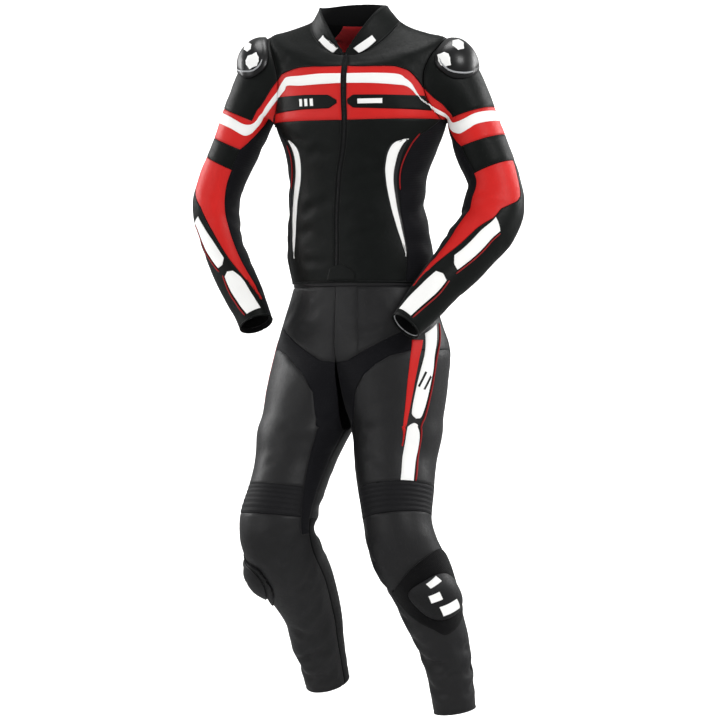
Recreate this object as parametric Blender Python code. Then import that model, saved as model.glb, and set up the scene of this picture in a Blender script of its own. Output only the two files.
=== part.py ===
"""A two-piece leather race suit: zipped jacket and trousers, filled out as if worn, with nobody inside.

Every panel is a wall of leather cut from one of five tubes: the body, two sleeves and two legs. A tube is a
smooth loft through a short table of rings. A net of seam lines is laid on each tube, and each panel takes the
cells of the net between its seams, so that neighbours share their edge points and keep a small gap.
"""

import math

import bpy
from mathutils import Vector

# Driving dimensions, in metres and degrees.
LEATHER = 0.0024
TRIM = 0.0012
LABEL = 0.0008
COLLAR_WALL = 0.0030
PAD_WALL = 0.0035
SEAM = 0.0003
RIB_HEIGHT = 0.0016
HARD_REST = 0.0012
CUP_RISE = 0.016
SLIDER_RISE = 0.016
ZIP_SINK = 0.0006
SHARP_ANGLE = 40

# The middle of the space between the shoulders, where the wearer holds the suit up: the part's origin.
HELD_AT = Vector((-0.009, -0.005, 1.400))

COLOURS = {
    "leather": ((0.022, 0.022, 0.022), 0.5),
    "jacket_leather": ((0.017, 0.019, 0.019), 0.45),
    "stretch": ((0.008, 0.008, 0.010), 0.85),
    "red_leather": ((0.66, 0.03, 0.03), 0.45),
    "white_leather": ((0.85, 0.85, 0.85), 0.45),
    "hard_black": ((0.006, 0.006, 0.007), 0.2),
    "hook_pad": ((0.008, 0.008, 0.009), 0.9),
    "slider_grey": ((0.05, 0.05, 0.05), 0.4),
    "zip_black": ((0.01, 0.01, 0.01), 0.4),
    "label_red": ((0.62, 0.03, 0.04), 0.8),
}


def table(columns, *rows):
    return [dict(zip(columns.split(), row)) for row in rows]


# The body, from the hem up to the collar's rim: ring heights, how far the front and back dip, the ring's
# centre, its half width, its depth to the front and back, its turn about the vertical, and how far it leans:
# the wearer's right side stands that much higher than the centre, and the left side that much lower.
BODY = table(
    "height front_dip back_dip side fore half front back turn lean",
    (0.889, 0.000, 0.000, 0.000, 0.000, 0.151, 0.112, 0.112, 0, 0),
    (0.945, 0.000, 0.000, -0.003, -0.002, 0.158, 0.109, 0.108, 2, 0),
    (1.000, 0.000, 0.000, -0.007, -0.004, 0.152, 0.104, 0.102, 3, 0),
    (1.050, 0.000, 0.000, -0.009, -0.005, 0.148, 0.102, 0.099, 5, 0),
    (1.105, 0.000, 0.000, -0.007, -0.004, 0.1465, 0.107, 0.104, 7, 0),
    (1.160, 0.000, 0.000, -0.002, -0.001, 0.160, 0.116, 0.114, 10, 0),
    (1.214, 0.000, 0.000, -0.002, -0.001, 0.179, 0.122, 0.122, 12, 0),
    (1.262, 0.006, 0.000, -0.004, -0.002, 0.184, 0.119, 0.126, 12, 0),
    (1.313, 0.017, 0.003, -0.006, -0.003, 0.190, 0.111, 0.124, 12, 0.001),
    (1.361, 0.039, 0.009, -0.007, -0.004, 0.194, 0.101, 0.115, 12, 0.004),
    (1.393, 0.0595, 0.009, -0.007, -0.004, 0.186, 0.093, 0.100, 12, 0.007),
    (1.404, 0.062, 0.004, -0.008, -0.004, 0.150, 0.087, 0.088, 12, 0.007),
    (1.414, 0.067, 0.002, -0.009, -0.005, 0.118, 0.082, 0.079, 12, 0.006),
    (1.425, 0.077, 0.000, -0.010, -0.006, 0.094, 0.078, 0.071, 13, 0.003),
    (1.440, 0.091, -0.005, -0.013, -0.007, 0.081, 0.0765, 0.067, 13, 0.001),
    (1.4555, 0.107, -0.012, -0.015, -0.008, 0.070, 0.075, 0.066, 13, 0),
)
ARMPIT, SHOULDER, NECK, RIM = 6, 10, 13, 15
ARMHOLE_FRONT, ARMHOLE_BACK = 36, 34
DIP_POWER = 1.5

# How a sleeve head leaves the armhole: turned like the shoulders, opening to the front and back, and falling.
# It bows by a share of its length.
SHOULDER_TURN, HEAD_OPENING, HEAD_FALL, HEAD_BOW = 12, 0.35, 0.25, 1.0

# The sleeves, from the first ring below the sleeve head to the cuff. Keyed by side: 1 is the wearer's left.
SLEEVE = {
    1: table(
        "side fore height half depth turn",
        (0.2175, 0.0625, 1.2310, 0.0500, 0.061, 12),
        (0.2371, 0.0693, 1.1624, 0.0550, 0.058, 14),
        (0.2635, 0.0730, 1.0968, 0.0535, 0.054, 17),
        (0.2645, 0.0663, 1.0435, 0.0620, 0.056, 20),
        (0.2615, 0.0487, 1.0015, 0.0605, 0.054, 24),
        (0.2435, 0.0186, 0.9640, 0.0570, 0.052, 26),
        (0.2230, -0.0126, 0.9220, 0.0515, 0.049, 28),
        (0.2000, -0.0466, 0.8825, 0.0450, 0.046, 28),
        (0.1817, -0.0756, 0.8456, 0.0410, 0.042, 28),
        (0.1581, -0.1141, 0.7995, 0.0330, 0.035, 28),
    ),
    -1: table(
        "side fore height half depth turn",
        (-0.2271, -0.0641, 1.2444, 0.0530, 0.062, 12),
        (-0.2612, -0.0724, 1.1624, 0.0485, 0.057, 12),
        (-0.2885, -0.0774, 1.1009, 0.0475, 0.052, 12),
        (-0.2980, -0.0792, 1.0456, 0.0480, 0.052, 12),
        (-0.2880, -0.0829, 0.9943, 0.0450, 0.048, 12),
        (-0.2605, -0.0909, 0.9307, 0.0425, 0.046, 12),
        (-0.2265, -0.1000, 0.8754, 0.0410, 0.043, 12),
        (-0.1991, -0.1102, 0.8344, 0.0365, 0.038, 12),
        (-0.1826, -0.1174, 0.8057, 0.0345, 0.036, 12),
    ),
}

# The legs, from the waist to the hem. Tilt 0 keeps a ring level and 1 squares it to the leg's run.
LEG_COLUMNS = "side fore height half front back turn tilt"
HIPS = (
    (0.000, 0.000, 0.8800, 0.1483, 0.1093, 0.1093, 0, 0),
    (0.012, 0.000, 0.8160, 0.1570, 0.1160, 0.1190, 0, 0),
    (0.035, 0.000, 0.7524, 0.1540, 0.1190, 0.1290, 0, 0),
)
LEG = {
    1: table(
        LEG_COLUMNS,
        *HIPS,
        (0.070, -0.010, 0.6800, 0.1170, 0.108, 0.122, 0, 0),
        (0.088, -0.020, 0.6190, 0.0960, 0.098, 0.104, 0, 0.1),
        (0.0945, -0.0256, 0.5800, 0.0905, 0.095, 0.097, 0, 0.2),
        (0.100, -0.044, 0.5270, 0.0820, 0.088, 0.088, 1, 0.4),
        (0.115, -0.070, 0.4650, 0.0750, 0.080, 0.080, 2, 0.7),
        (0.127, -0.086, 0.4040, 0.0680, 0.073, 0.073, 3, 1),
        (0.139, -0.083, 0.3526, 0.0700, 0.072, 0.072, 3, 1),
        (0.160, -0.055, 0.2910, 0.0655, 0.068, 0.070, 3, 1),
        (0.1735, -0.024, 0.2194, 0.0580, 0.063, 0.067, 3, 1),
        (0.185, 0.0015, 0.1580, 0.0510, 0.057, 0.060, 3, 1),
        (0.1915, 0.019, 0.0964, 0.0450, 0.052, 0.052, 3, 1),
        (0.198, 0.029, 0.0246, 0.0420, 0.046, 0.046, 3, 1),
    ),
    -1: table(
        LEG_COLUMNS,
        *HIPS,
        (0.077, -0.030, 0.6800, 0.1130, 0.108, 0.126, 0, 0),
        (0.090, -0.055, 0.6190, 0.0980, 0.100, 0.108, 0, 0.1),
        (0.096, -0.077, 0.5800, 0.0925, 0.096, 0.100, -1, 0.2),
        (0.100, -0.100, 0.5270, 0.0800, 0.086, 0.086, -4, 0.3),
        (0.104, -0.132, 0.4650, 0.0755, 0.080, 0.076, -6, 0.4),
        (0.108, -0.157, 0.4040, 0.0790, 0.078, 0.072, -8, 0.5),
        (0.1045, -0.145, 0.3526, 0.0780, 0.076, 0.074, -10, 0.75),
        (0.1015, -0.092, 0.2910, 0.0720, 0.072, 0.078, -10, 1),
        (0.0975, -0.038, 0.2194, 0.0565, 0.063, 0.068, -10, 1),
        (0.1020, -0.006, 0.1580, 0.0530, 0.057, 0.060, -10, 1),
        (0.102, 0.0215, 0.1066, 0.0480, 0.052, 0.052, -10, 1),
        (0.1007, 0.039, 0.0636, 0.0445, 0.048, 0.048, -10, 1),
    ),
}
SIDES = {1: "left", -1: "right"}
FADE_POWER = 6

# The largest folds of each tube: where the fold's middle is, how far it runs round, how far it slants along
# the tube as it does, its width in table rows, and its height (a trough is negative).
FOLDS = {
    "body": table(
        "around row reach slant width height",
        (100, 2.9, 60, 0.5, 0.30, -0.005),
        (-105, 2.6, 60, 0.6, 0.30, -0.005),
        (150, 3.3, 50, -0.5, 0.30, -0.004),
        (-150, 3.6, 50, 0.5, 0.30, -0.004),
    ),
    "sleeve": table(
        "around row reach slant width height",
        (-90, 3.9, 70, 0.3, 0.30, -0.003),
        (-80, 4.8, 65, -0.3, 0.30, -0.003),
        (-100, 5.5, 60, 0.3, 0.28, -0.004),
        (-75, 0.55, 50, 0.2, 0.25, -0.004),
    ),
    "leg": table(
        "around row reach slant width height",
        (-125, 0.75, 50, 0.45, 0.22, -0.004),
        (-135, 1.45, 55, -0.35, 0.22, -0.004),
        (170, 8.6, 80, 0.2, 0.60, -0.003),
        (150, 9.8, 70, -0.3, 0.50, -0.004),
        (-140, 8.9, 45, 0.3, 0.22, -0.004),
        (-110, 12.2, 60, 0.5, 0.24, -0.004),
        (-60, 12.9, 60, -0.4, 0.22, -0.004),
        (-120, 11.5, 50, 0.4, 0.22, -0.003),
        (90, 12.4, 60, 0.4, 0.24, -0.004),
    ),
}


def smooth(rows, column, at):
    """A column read at a row number that may lie between rows, on a smooth curve through them."""
    last = len(rows) - 1
    at = min(max(at, 0.0), float(last))
    low = min(int(at), last - 1)
    part = at - low
    b, c = rows[low][column], rows[low + 1][column]
    a = rows[low - 1][column] if low > 0 else 2 * b - c
    d = rows[low + 2][column] if low + 2 <= last else 2 * c - b
    return 0.5 * (
        2 * b + (c - a) * part + (2 * a - 5 * b + 4 * c - d) * part**2 + (3 * b - 3 * c + d - a) * part**3
    )


def straight(pairs, at):
    """A value read from (place, value) pairs, on straight runs between them."""
    if at <= pairs[0][0]:
        return pairs[0][1]
    for (x0, y0), (x1, y1) in zip(pairs, pairs[1:]):
        if at <= x1:
            return y0 + (y1 - y0) * (at - x0) / (x1 - x0)
    return pairs[-1][1]


def bearing(degrees):
    angle = math.radians(degrees)
    return Vector((math.cos(angle), math.sin(angle), 0))


def crease(folds, around, row):
    """The height of the folds at a place on a tube."""
    height = 0.0
    for fold in folds:
        off = (around - fold["around"] + 180) % 360 - 180
        across = off / fold["reach"]
        along = (row - fold["row"] - fold["slant"] * across) / fold["width"]
        if abs(across) < 1:
            height += fold["height"] * math.exp(-along * along) * math.cos(across * math.pi / 2) ** 2
    return height


def ring_centre(rows, row):
    return Vector([smooth(rows, name, row) for name in ("side", "fore", "height")])


# The tubes. Each gives the point on the outer face at an angle around it and a row along it.
def dip_share(s, c, row):
    """How much of a ring's dip a place takes. The collar's front edge falls in a straight V to the zip."""
    straight_part = min(max((row - NECK) / (RIM - NECK), 0), 1) if c > 0 else 0
    rounded = abs(c) ** DIP_POWER
    return rounded + (1 - abs(s) - rounded) * straight_part


def body_point(around, row):
    angle = math.radians(around)
    s, c = math.sin(angle), math.cos(angle)
    depth = smooth(BODY, "front" if c > 0 else "back", row)
    dip = smooth(BODY, "front_dip" if c > 0 else "back_dip", row)
    wide = bearing(smooth(BODY, "turn", row))
    deep = Vector((wide.y, -wide.x, 0))
    swell = crease(FOLDS["body"], around, row)
    sink = dip * dip_share(s, c, row) + smooth(BODY, "lean", row) * s
    return (
        ring_centre(BODY, row)
        + wide * (smooth(BODY, "half", row) + swell) * s
        + deep * (depth + swell) * c
        - Vector((0, 0, sink))
    )


def armhole(side, around):
    """A place on the body's armhole: 0 is its front, 90 the shoulder point and -90 the armpit."""
    angle = math.radians(around)
    cut = ARMHOLE_FRONT if math.cos(angle) > 0 else ARMHOLE_BACK
    row = (ARMPIT + SHOULDER) / 2 + (SHOULDER - ARMPIT) / 2 * math.sin(angle)
    return side * (90 - cut * math.cos(angle)), row


def run(rows, row):
    """The direction in which a tube runs at a row."""
    step = 0.05
    after = ring_centre(rows, min(row + step, len(rows) - 1))
    return (after - ring_centre(rows, max(row - step, 0))).normalized()


def sleeve_ring(side, around, row):
    rows = SLEEVE[side]
    down = run(rows, row)
    out = side * bearing(smooth(rows, "turn", row))
    out = (out - down * out.dot(down)).normalized()
    front = out.cross(down) * side
    if front.y > 0:
        front = -front
    angle = math.radians(around)
    swell = crease(FOLDS["sleeve"], around, row + 1)
    return (
        ring_centre(rows, row)
        + (smooth(rows, "half", row) + swell) * math.sin(angle) * out
        + (smooth(rows, "depth", row) + swell) * math.cos(angle) * front
    )


def sleeve_point(side, around, row):
    """Rows 0 to 1 are the sleeve head, which leaves the armhole and joins the first ring."""
    if row >= 1:
        return sleeve_ring(side, around, row - 1)
    start = body_point(*armhole(side, around))
    end = sleeve_ring(side, around, 0)
    angle = math.radians(around)
    s, c = math.sin(angle), math.cos(angle)
    out = side * bearing(SHOULDER_TURN)
    front = Vector((out.y, -out.x, 0)) * side
    fall = HEAD_FALL * (1 - min(s, 0))
    leave = (out + HEAD_OPENING * c * front - Vector((0, 0, fall))).normalized()
    arrive = (sleeve_ring(side, around, 0.02) - end).normalized()
    size = (end - start).length * HEAD_BOW
    f = row
    return (
        (2 * f**3 - 3 * f**2 + 1) * start
        + (f**3 - 2 * f**2 + f) * size * leave
        + (3 * f**2 - 2 * f**3) * end
        + (f**3 - f**2) * size * arrive
    )


def leg_closes(side, row):
    """Whether a leg's ring is whole, or is still cut at the middle of the body."""
    return smooth(LEG[side], "side", row) - SEAM / 2 >= smooth(LEG[side], "half", row)


def leg_point(side, around, row):
    """Around: -180 is the front middle or inner leg, 0 the outer side and 180 the back middle."""
    rows = LEG[side]
    mirror = Vector((side, 1, 1))
    down = run(rows, row) * mirror
    tilt = smooth(rows, "tilt", row)
    down = (down * tilt + Vector((0, 0, tilt - 1))).normalized()
    out = side * bearing(smooth(rows, "turn", row))
    out = (out - down * out.dot(down)).normalized()
    back = down.cross(out) * side
    if back.y < 0:
        back = -back
    half = smooth(rows, "half", row)
    inner = smooth(rows, "side", row) - SEAM / 2
    widest = math.pi if inner >= half else math.acos(-inner / half)
    angle = math.radians(around) / math.pi * widest
    depth = smooth(rows, "front" if angle < 0 else "back", row)
    swell = crease(FOLDS["leg"], around, row) * (1 - (abs(around) / 180) ** FADE_POWER)
    centre = ring_centre(rows, row) * mirror
    return centre + (half + swell) * math.cos(angle) * out + (depth + swell) * math.sin(angle) * back


def outward(point, around, row):
    """The outward direction of a tube's face at a place, from four points close round it."""
    turn, step = 1.0, 0.03
    across = point(around + turn, row) - point(around - turn, row)
    along = point(around, row + step) - point(around, row - step)
    out = across.cross(along).normalized()
    return out if out.dot(point(around, row) - point(around + 180, row)) > 0 else -out


class Net:
    """The knots of a tube's seam lines, by line and column, with their outward directions."""

    def __init__(self, knots, same=()):
        self.knots = knots
        self.same = dict(same)
        self.sign = 1
        self.outs = {}
        sums = {}
        volume = 0.0
        for line, column in knots:
            if not self.has_cell(line, column):
                continue
            keys = self.corners(line, column)
            a, b, c, d = (knots[key] for key in keys)
            face = (c - a).cross(d - b)
            volume += face.dot(a + b + c + d)
            for key in keys:
                sums[key] = sums.get(key, Vector()) + face
        if volume < 0:
            self.sign = -1
        self.outs = {key: (total * self.sign).normalized() for key, total in sums.items()}

    def has_cell(self, line, column):
        places = ((line, column), (line, column + 1), (line + 1, column), (line + 1, column + 1))
        return all(place in self.knots for place in places)

    def key(self, line, column):
        return self.same.get((line, column), (line, column))

    def corners(self, line, column):
        """A cell's four knots, turning about its outward direction."""
        places = ((line, column), (line, column + 1), (line + 1, column + 1), (line + 1, column))
        keys = [self.key(*place) for place in places]
        return keys if self.sign > 0 else keys[::-1]


def block(lines, columns):
    """The cells in a span of lines and a span of columns."""
    return [(line, column) for line in range(*lines) for column in range(*columns)]


def material(name):
    if name in bpy.data.materials:
        return bpy.data.materials[name]
    colour, roughness = COLOURS[name]
    made = bpy.data.materials.new(name)
    made.use_nodes = True
    shader = made.node_tree.nodes["Principled BSDF"]
    shader.inputs["Base Color"].default_value = (*colour, 1)
    shader.inputs["Roughness"].default_value = roughness
    made.diffuse_color = (*colour, 1)
    return made


def add_object(name, points, faces, finish):
    mesh = bpy.data.meshes.new(name)
    mesh.from_pydata([tuple(point - HELD_AT) for point in points], [], faces)
    mesh.materials.append(material(finish))
    mesh.shade_smooth()
    mesh.set_sharp_from_angle(angle=math.radians(SHARP_ANGLE))
    made = bpy.data.objects.new(name, mesh)
    suit.objects.link(made)
    return made


def seam_shifts(net, cells):
    """A panel's edges, and how far each knot on them moves into the panel to leave half a seam's gap."""
    edges = {edge for keys in cells for edge in zip(keys, keys[1:] + keys[:1])}
    rim = sorted(edge for edge in edges if edge[::-1] not in edges)
    pushes = {}
    for start, end in rim:
        line = (net.knots[end] - net.knots[start]).normalized()
        for knot in (start, end):
            pushes.setdefault(knot, []).append(net.outs[knot].cross(line).normalized())
    shifts = {}
    for knot, inwards in pushes.items():
        total = sum(inwards, Vector())
        shifts[knot] = total * (SEAM / 2 / max(total.dot(inwards[0]), 0.5))
    return rim, shifts


def panel(name, net, places, finish, wall=LEATHER, lift=0.0, raised=None):
    """A wall over some cells of a net. Lift is the height of its outer face over the net's knots."""
    cells = [net.corners(*place) for place in places]
    rim, shifts = seam_shifts(net, cells)
    keys = sorted({key for corners in cells for key in corners})
    number = {key: index for index, key in enumerate(keys)}
    count = len(keys)
    bases = [net.knots[key] + shifts.get(key, Vector()) for key in keys]
    heights = [lift + (raised(key) if raised and key not in shifts else 0) for key in keys]
    outer = [base + net.outs[key] * height for base, key, height in zip(bases, keys, heights)]
    inner = [base + net.outs[key] * (lift - wall) for base, key in zip(bases, keys)]
    faces = []
    for corners in cells:
        a, b, c, d = (number[key] for key in corners)
        faces += [(a, b, c), (a, c, d)]
        faces += [(c + count, b + count, a + count), (d + count, c + count, a + count)]
    for start, end in rim:
        a, b = number[start], number[end]
        if tuple(net.knots[start]) < tuple(net.knots[end]):
            faces += [(b, a, b + count), (a, a + count, b + count)]
        else:
            faces += [(b, a, a + count), (b, a + count, b + count)]
    return add_object(name, outer + inner, faces, finish)


def overlay(name, net, places, finish, wall=TRIM):
    """A piece sewn on top of the panels: their own points, moved out."""
    return panel(name, net, places, finish, wall, lift=SEAM + wall)


def shell(name, point, middle, reach, rise, rest, finish, skew=0):
    """A hard shell with a rounded outline, lying over a tube's face and rising to a soft crown."""
    spokes, rings, corner_power, crown_power, edge = 20, 4, 2.6, 2.2, 0.003

    def spot(share, spoke, height):
        angle = 2 * math.pi * spoke / spokes
        s, c = math.sin(angle), math.cos(angle)
        share *= (abs(s) ** corner_power + abs(c) ** corner_power) ** (-1 / corner_power)
        around, row = middle[0] + share * (reach[0] * c + skew * s), middle[1] + reach[1] * share * s
        return point(around, row) + outward(point, around, row) * height

    points = []
    for crown in (1, 0):
        for ring in range(rings, 0, -1):
            share = ring / rings
            height = rest + crown * (edge + rise * (1 - share**crown_power))
            points += [spot(share, spoke, height) for spoke in range(spokes)]
        points.append(spot(0, 0, rest + crown * (edge + rise)))
    under = len(points) // 2
    faces = []
    for spoke in range(spokes):
        other = (spoke + 1) % spokes
        for ring in range(rings - 1):
            a, b = ring * spokes + spoke, ring * spokes + other
            faces += [(a, b, b + spokes, a + spokes)]
            faces += [(b + under, a + under, a + under + spokes, b + under + spokes)]
        a, b = (rings - 1) * spokes + spoke, (rings - 1) * spokes + other
        faces += [(a, b, under - 1), (b + under, a + under, 2 * under - 1)]
        faces += [(other, spoke, spoke + under, other + under)]
    made = add_object(name, points, faces, finish)
    a, b, c = points[0], points[1], points[spokes]
    if (b - a).cross(c - a).dot(points[0] - points[under]) < 0:
        made.data.flip_normals()
    return made


# The body's seam lines. Half the body has columns from the zip, by the side seams, to the back middle, and
# lines from the hem, by the chest band and the yoke, to the neck and the collar's rim.
ZIP_HALF = 1.8
HEM_ROWS = (0, 0.45, 0.95, 1.6, 2.3, 2.9, 3.5, 4.1, 4.7, 5.3)
FRONT_SEAM = ((0, 60), (0.9, 58), (2.9, 55), (4.1, 52), (4.7, 51), (5.3, 55))
TRIM_SEAM = ((0, 54), (0.9, 53), (2.9, 46), (4.1, 40), (4.7, 39), (5.3, 44))
BACK_SEAM = ((0, 118), (3, 122), (5.3, 118))
ARMPIT_ANGLES = (-72, -84, -96, -108)
BAND_ANGLES = (-72, -58.5, -45, -31.5, -18)
YOKE_ANGLES = (3.6, 25.2, 46.8, 68.4, 90)
BAND_SHARES = (0, 0.36, 0.56, 0.75, 1)
BAND_LOW, BAND_EDGE_LOW = 6.0, 6.1
FRONT_BAND_TOP = {
    1: ((0, 9.2), (0.3, 9.0), (0.55, 8.75), (0.75, 8.3), (1, 7.38)),
    -1: ((0, 9.2), (0.3, 9.0), (0.55, 8.75), (0.72, 8.47), (0.9, 8.22), (1, 7.93)),
}
BACK_BAND_TOP = ((0, 8.6), (0.5, 8.35), (0.8, 7.9), (1, 7.38))
EDGE_SHIFT = {
    1: ((0, 0), (0.25, -9.8), (0.5, -13.1), (0.7, -19.8), (1.05, -19.4), (1.85, 0)),
    -1: ((0, 16), (0.39, -4.8), (0.61, -13.8), (0.96, -19.3), (1.16, -19), (1.85, 0)),
}
EDGE_SPREAD = ((-72, 0), (-18, 1), (90, 0))
FRONT_SHARES = (0, 0.2, 0.4, 0.6, 0.8, 1)
BACK_SHARES = (1, 0.8, 0.56, 0.32, 0.16, 0)
BAND_LINE = len(HEM_ROWS)
YOKE_LINE = BAND_LINE + len(BAND_ANGLES) - 1
SHOULDER_LINE = YOKE_LINE + len(YOKE_ANGLES)
NECK_LINE = SHOULDER_LINE + 2
RIM_LINE = NECK_LINE + 2
FRONT_COLUMN = len(FRONT_SHARES) - 1
BACK_COLUMN = FRONT_COLUMN + len(ARMPIT_ANGLES) - 1
LAST_COLUMN = BACK_COLUMN + len(BACK_SHARES) - 1


def edge_shift(side, angle, row):
    """How far the columns at the front of a sleeve head lie off their even places, for the band's slant."""
    return straight(EDGE_SHIFT[side], row) * straight(EDGE_SPREAD, angle)


def edge_place(side, line, back):
    """Where a line above the armpit meets the armhole or, past it, the shoulder seam."""
    angles = BAND_ANGLES + YOKE_ANGLES
    step = line - BAND_LINE
    if step < len(angles):
        angle = angles[step]
        return armhole(1, 180 - angle if back else angle + edge_shift(side, angle, 0))
    if line <= NECK_LINE:
        return 90, SHOULDER + (NECK - SHOULDER) * (line - SHOULDER_LINE) / (NECK_LINE - SHOULDER_LINE)
    return 90, NECK + (RIM - NECK) * (line - NECK_LINE) / (RIM_LINE - NECK_LINE)


def upper_place(side, line, share, back):
    """A knot above the armpit, at a share of the way from the middle to the armhole or shoulder seam."""
    start = 180 if back else ZIP_HALF
    edge, edge_row = edge_place(side, line, back)
    around = start + (edge - start) * share
    edge_top = edge_place(side, YOKE_LINE, back)[1]
    top = straight(BACK_BAND_TOP if back else FRONT_BAND_TOP[side], share)
    if line > NECK_LINE:
        return around, edge_row
    if line > YOKE_LINE:
        return around, top + (NECK - top) * (edge_row - edge_top) / (NECK - edge_top)
    step = BAND_SHARES[line - BAND_LINE]
    low = BAND_LOW + (BAND_EDGE_LOW - BAND_LOW) * share
    miss = edge_row - (BAND_EDGE_LOW + (edge_top - BAND_EDGE_LOW) * step)
    return around, low + (top - low) * step + miss * share**4


def body_place(side, line, column):
    """A knot's angle from the front, towards its own side, and its row. Nothing in the armhole."""
    if BAND_LINE < line and FRONT_COLUMN < column < BACK_COLUMN:
        return None
    if line >= BAND_LINE:
        if column <= FRONT_COLUMN:
            return upper_place(side, line, FRONT_SHARES[column], False)
        if column >= BACK_COLUMN:
            return upper_place(side, line, BACK_SHARES[column - BACK_COLUMN], True)
        return armhole(1, ARMPIT_ANGLES[column - FRONT_COLUMN])
    row = HEM_ROWS[line]
    front, back, trim = (straight(seam, row) for seam in (FRONT_SEAM, BACK_SEAM, TRIM_SEAM))
    if column == FRONT_COLUMN:
        return front, row
    if column < FRONT_COLUMN:
        return ZIP_HALF + (trim - ZIP_HALF) * column / (FRONT_COLUMN - 1), row
    if column <= BACK_COLUMN:
        return front + (back - front) * (column - FRONT_COLUMN) / (BACK_COLUMN - FRONT_COLUMN), row
    return 180 + (back - 180) * BACK_SHARES[column - BACK_COLUMN], row


def mirrored(column):
    """The column of the wearer's right that matches one of the left. The zip lies between 0 and -1."""
    return -1 - column


def body_net():
    knots, same = {}, {}
    for line in range(RIM_LINE + 1):
        for column in range(LAST_COLUMN + 1):
            for side in SIDES:
                place = body_place(side, line, column)
                if place:
                    around, row = place
                    own = column if side > 0 else mirrored(column)
                    knots[line, own] = body_point(side * around, row)
        same[line, mirrored(LAST_COLUMN)] = (line, LAST_COLUMN)
        if line >= SHOULDER_LINE:
            same[line, BACK_COLUMN] = (line, FRONT_COLUMN)
            same[line, mirrored(BACK_COLUMN)] = (line, mirrored(FRONT_COLUMN))
    return Net(knots, same)


# The sleeve's seam lines. Columns start behind the armpit and run by the front, the outer side and the back.
HEAD_ANGLES = (
    *(-108, -96, -84),
    *BAND_ANGLES,
    *YOKE_ANGLES,
    *(180 - angle for angle in YOKE_ANGLES[-2::-1]),
    *(180 - angle for angle in BAND_ANGLES[::-1]),
)
SLEEVE_COLUMNS = len(HEAD_ANGLES) - 1
STRETCH_FRONT, RED_EDGE, BAR_FRONT, BAR_BACK, STRETCH_BACK = 6, 11, 12, 13, 18
HEAD_FRONT, HEAD_BACK, ARMPIT_COLUMN = 7, 17, 3
SLEEVE_SEAMS = table(
    "share stretch_front red_edge bar_front bar_back stretch_back",
    (0.00, -31.5, 68.4, 90.0, 111.6, 211.5),
    (0.20, -33, 74, 92, 112, 213),
    (0.27, -33, 76, 94, 114, 215),
    (0.36, -36, 66, 84, 102, 218),
    (0.45, -40, 22, 34, 56, 222),
    (0.60, -43, -2, 12, 38, 222),
    (0.74, -48, -25, -5, 24, 222),
    (0.885, -62, -54, -22, 14, 222),
    (1.00, -62, -50, -40, 8, 222),
)
BAND_FOOT = 1.85
FOOT_ROWS = {3: 1.0, 4: 1.25, 5: 1.55, 19: 1.55, 20: 1.25, 21: 1.0, 0: 1.0, 1: 0.95, 2: 0.95}
UPPER_SHARES = {1: (0, 0.2, 0.38, 0.54, 0.63, 0.77, 1), -1: (0, 0.21, 0.42, 0.625, 0.69, 0.81, 1)}
LOWER_SHARES = (0.27, 0.335, 0.40, 0.46, 0.53, 0.60, 0.67, 0.74, 0.81, 0.885, 0.945, 1)
BAND_TOP_LINE, STRIPE_LINE, BAND_FOOT_LINE = 3, 4, 6
RED_TOP_LINE, BAR_LINE, RED_TIP_LINE, CUFF_LINE = 7, 10, 16, 18
CUP_MIDDLE, CUP_REACH = (60, 0.31), (42, 0.28)


def sleeve_angle(side, column, row):
    """The angle of a column at a row. Below the band, columns spread evenly."""
    column = column % SLEEVE_COLUMNS
    full = 360
    share = row / len(SLEEVE[side])
    seams = {
        STRETCH_FRONT: "stretch_front",
        RED_EDGE: "red_edge",
        BAR_FRONT: "bar_front",
        BAR_BACK: "bar_back",
        STRETCH_BACK: "stretch_back",
    }
    marks = [(index, straight([(row["share"], row[name]) for row in SLEEVE_SEAMS], share))
             for index, name in seams.items()]
    marks = [(marks[-1][0] - SLEEVE_COLUMNS, marks[-1][1] - full), *marks]
    marks.append((marks[1][0] + SLEEVE_COLUMNS, marks[1][1] + full))
    even = straight(marks, column)
    blend = min(share / SLEEVE_SEAMS[1]["share"], 1)
    head = HEAD_ANGLES[column]
    return head + (even - head) * blend + edge_shift(side, head, row)


def sleeve_net(side):
    last = len(SLEEVE[side])
    knots, same = {}, {}
    for column in range(SLEEVE_COLUMNS + 1):
        foot = FOOT_ROWS.get(column, BAND_FOOT)
        rows = [share * foot for share in UPPER_SHARES[side]]
        for share in LOWER_SHARES:
            rows.append(foot + (share * last - BAND_FOOT) * (last - foot) / (last - BAND_FOOT))
        for line, row in enumerate(rows):
            knots[line, column] = sleeve_point(side, sleeve_angle(side, column, row), row)
            same[line, SLEEVE_COLUMNS] = (line, 0)
    return Net(knots, same)


# The leg's seam lines. Columns run from the front middle by the outer side to the back middle.
LEG_SEAMS = table(
    "row gusset red white_front white_back side",
    (0.0, -145, -70, -40, -8, 20),
    (1.3, -145, -68, -38, -6, 22),
    (2.7, -145, -67, -52, -29, 20),
    (4.2, -144, -65, -49, -34, 18),
    (4.8, -137, -64, -50, -35, 18),
    (5.7, -143, -62, -52, -36, 18),
    (6.9, -154, -64, -56, -37, 18),
    (7.8, -163, -64, -50, -30, 20),
    (8.4, -166, -64, -46, -26, 20),
    (14.0, -150, -66, -42, -18, 20),
)
GUSSET_COLUMN, RED_COLUMN, WHITE_COLUMN, WHITE_BACK, SIDE_COLUMN, LEG_COLUMNS_END = 1, 4, 5, 6, 8, 14
GUSSET_TOP = ((-180, 2.35), (-160, 2.3), (-130, 1.95), (-100, 1.6), (-70, 1.33))
GUSSET_LOW = ((-180, 3.3), (-145, 3.2), (-135, 2.7), (-120, 2.4), (-100, 2.15), (-70, 2.0), (20, 2.0), (180, 3.2))
THIGH_ROWS = (3.9, 4.4, 4.75, 5.4, 6.15)
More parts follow.
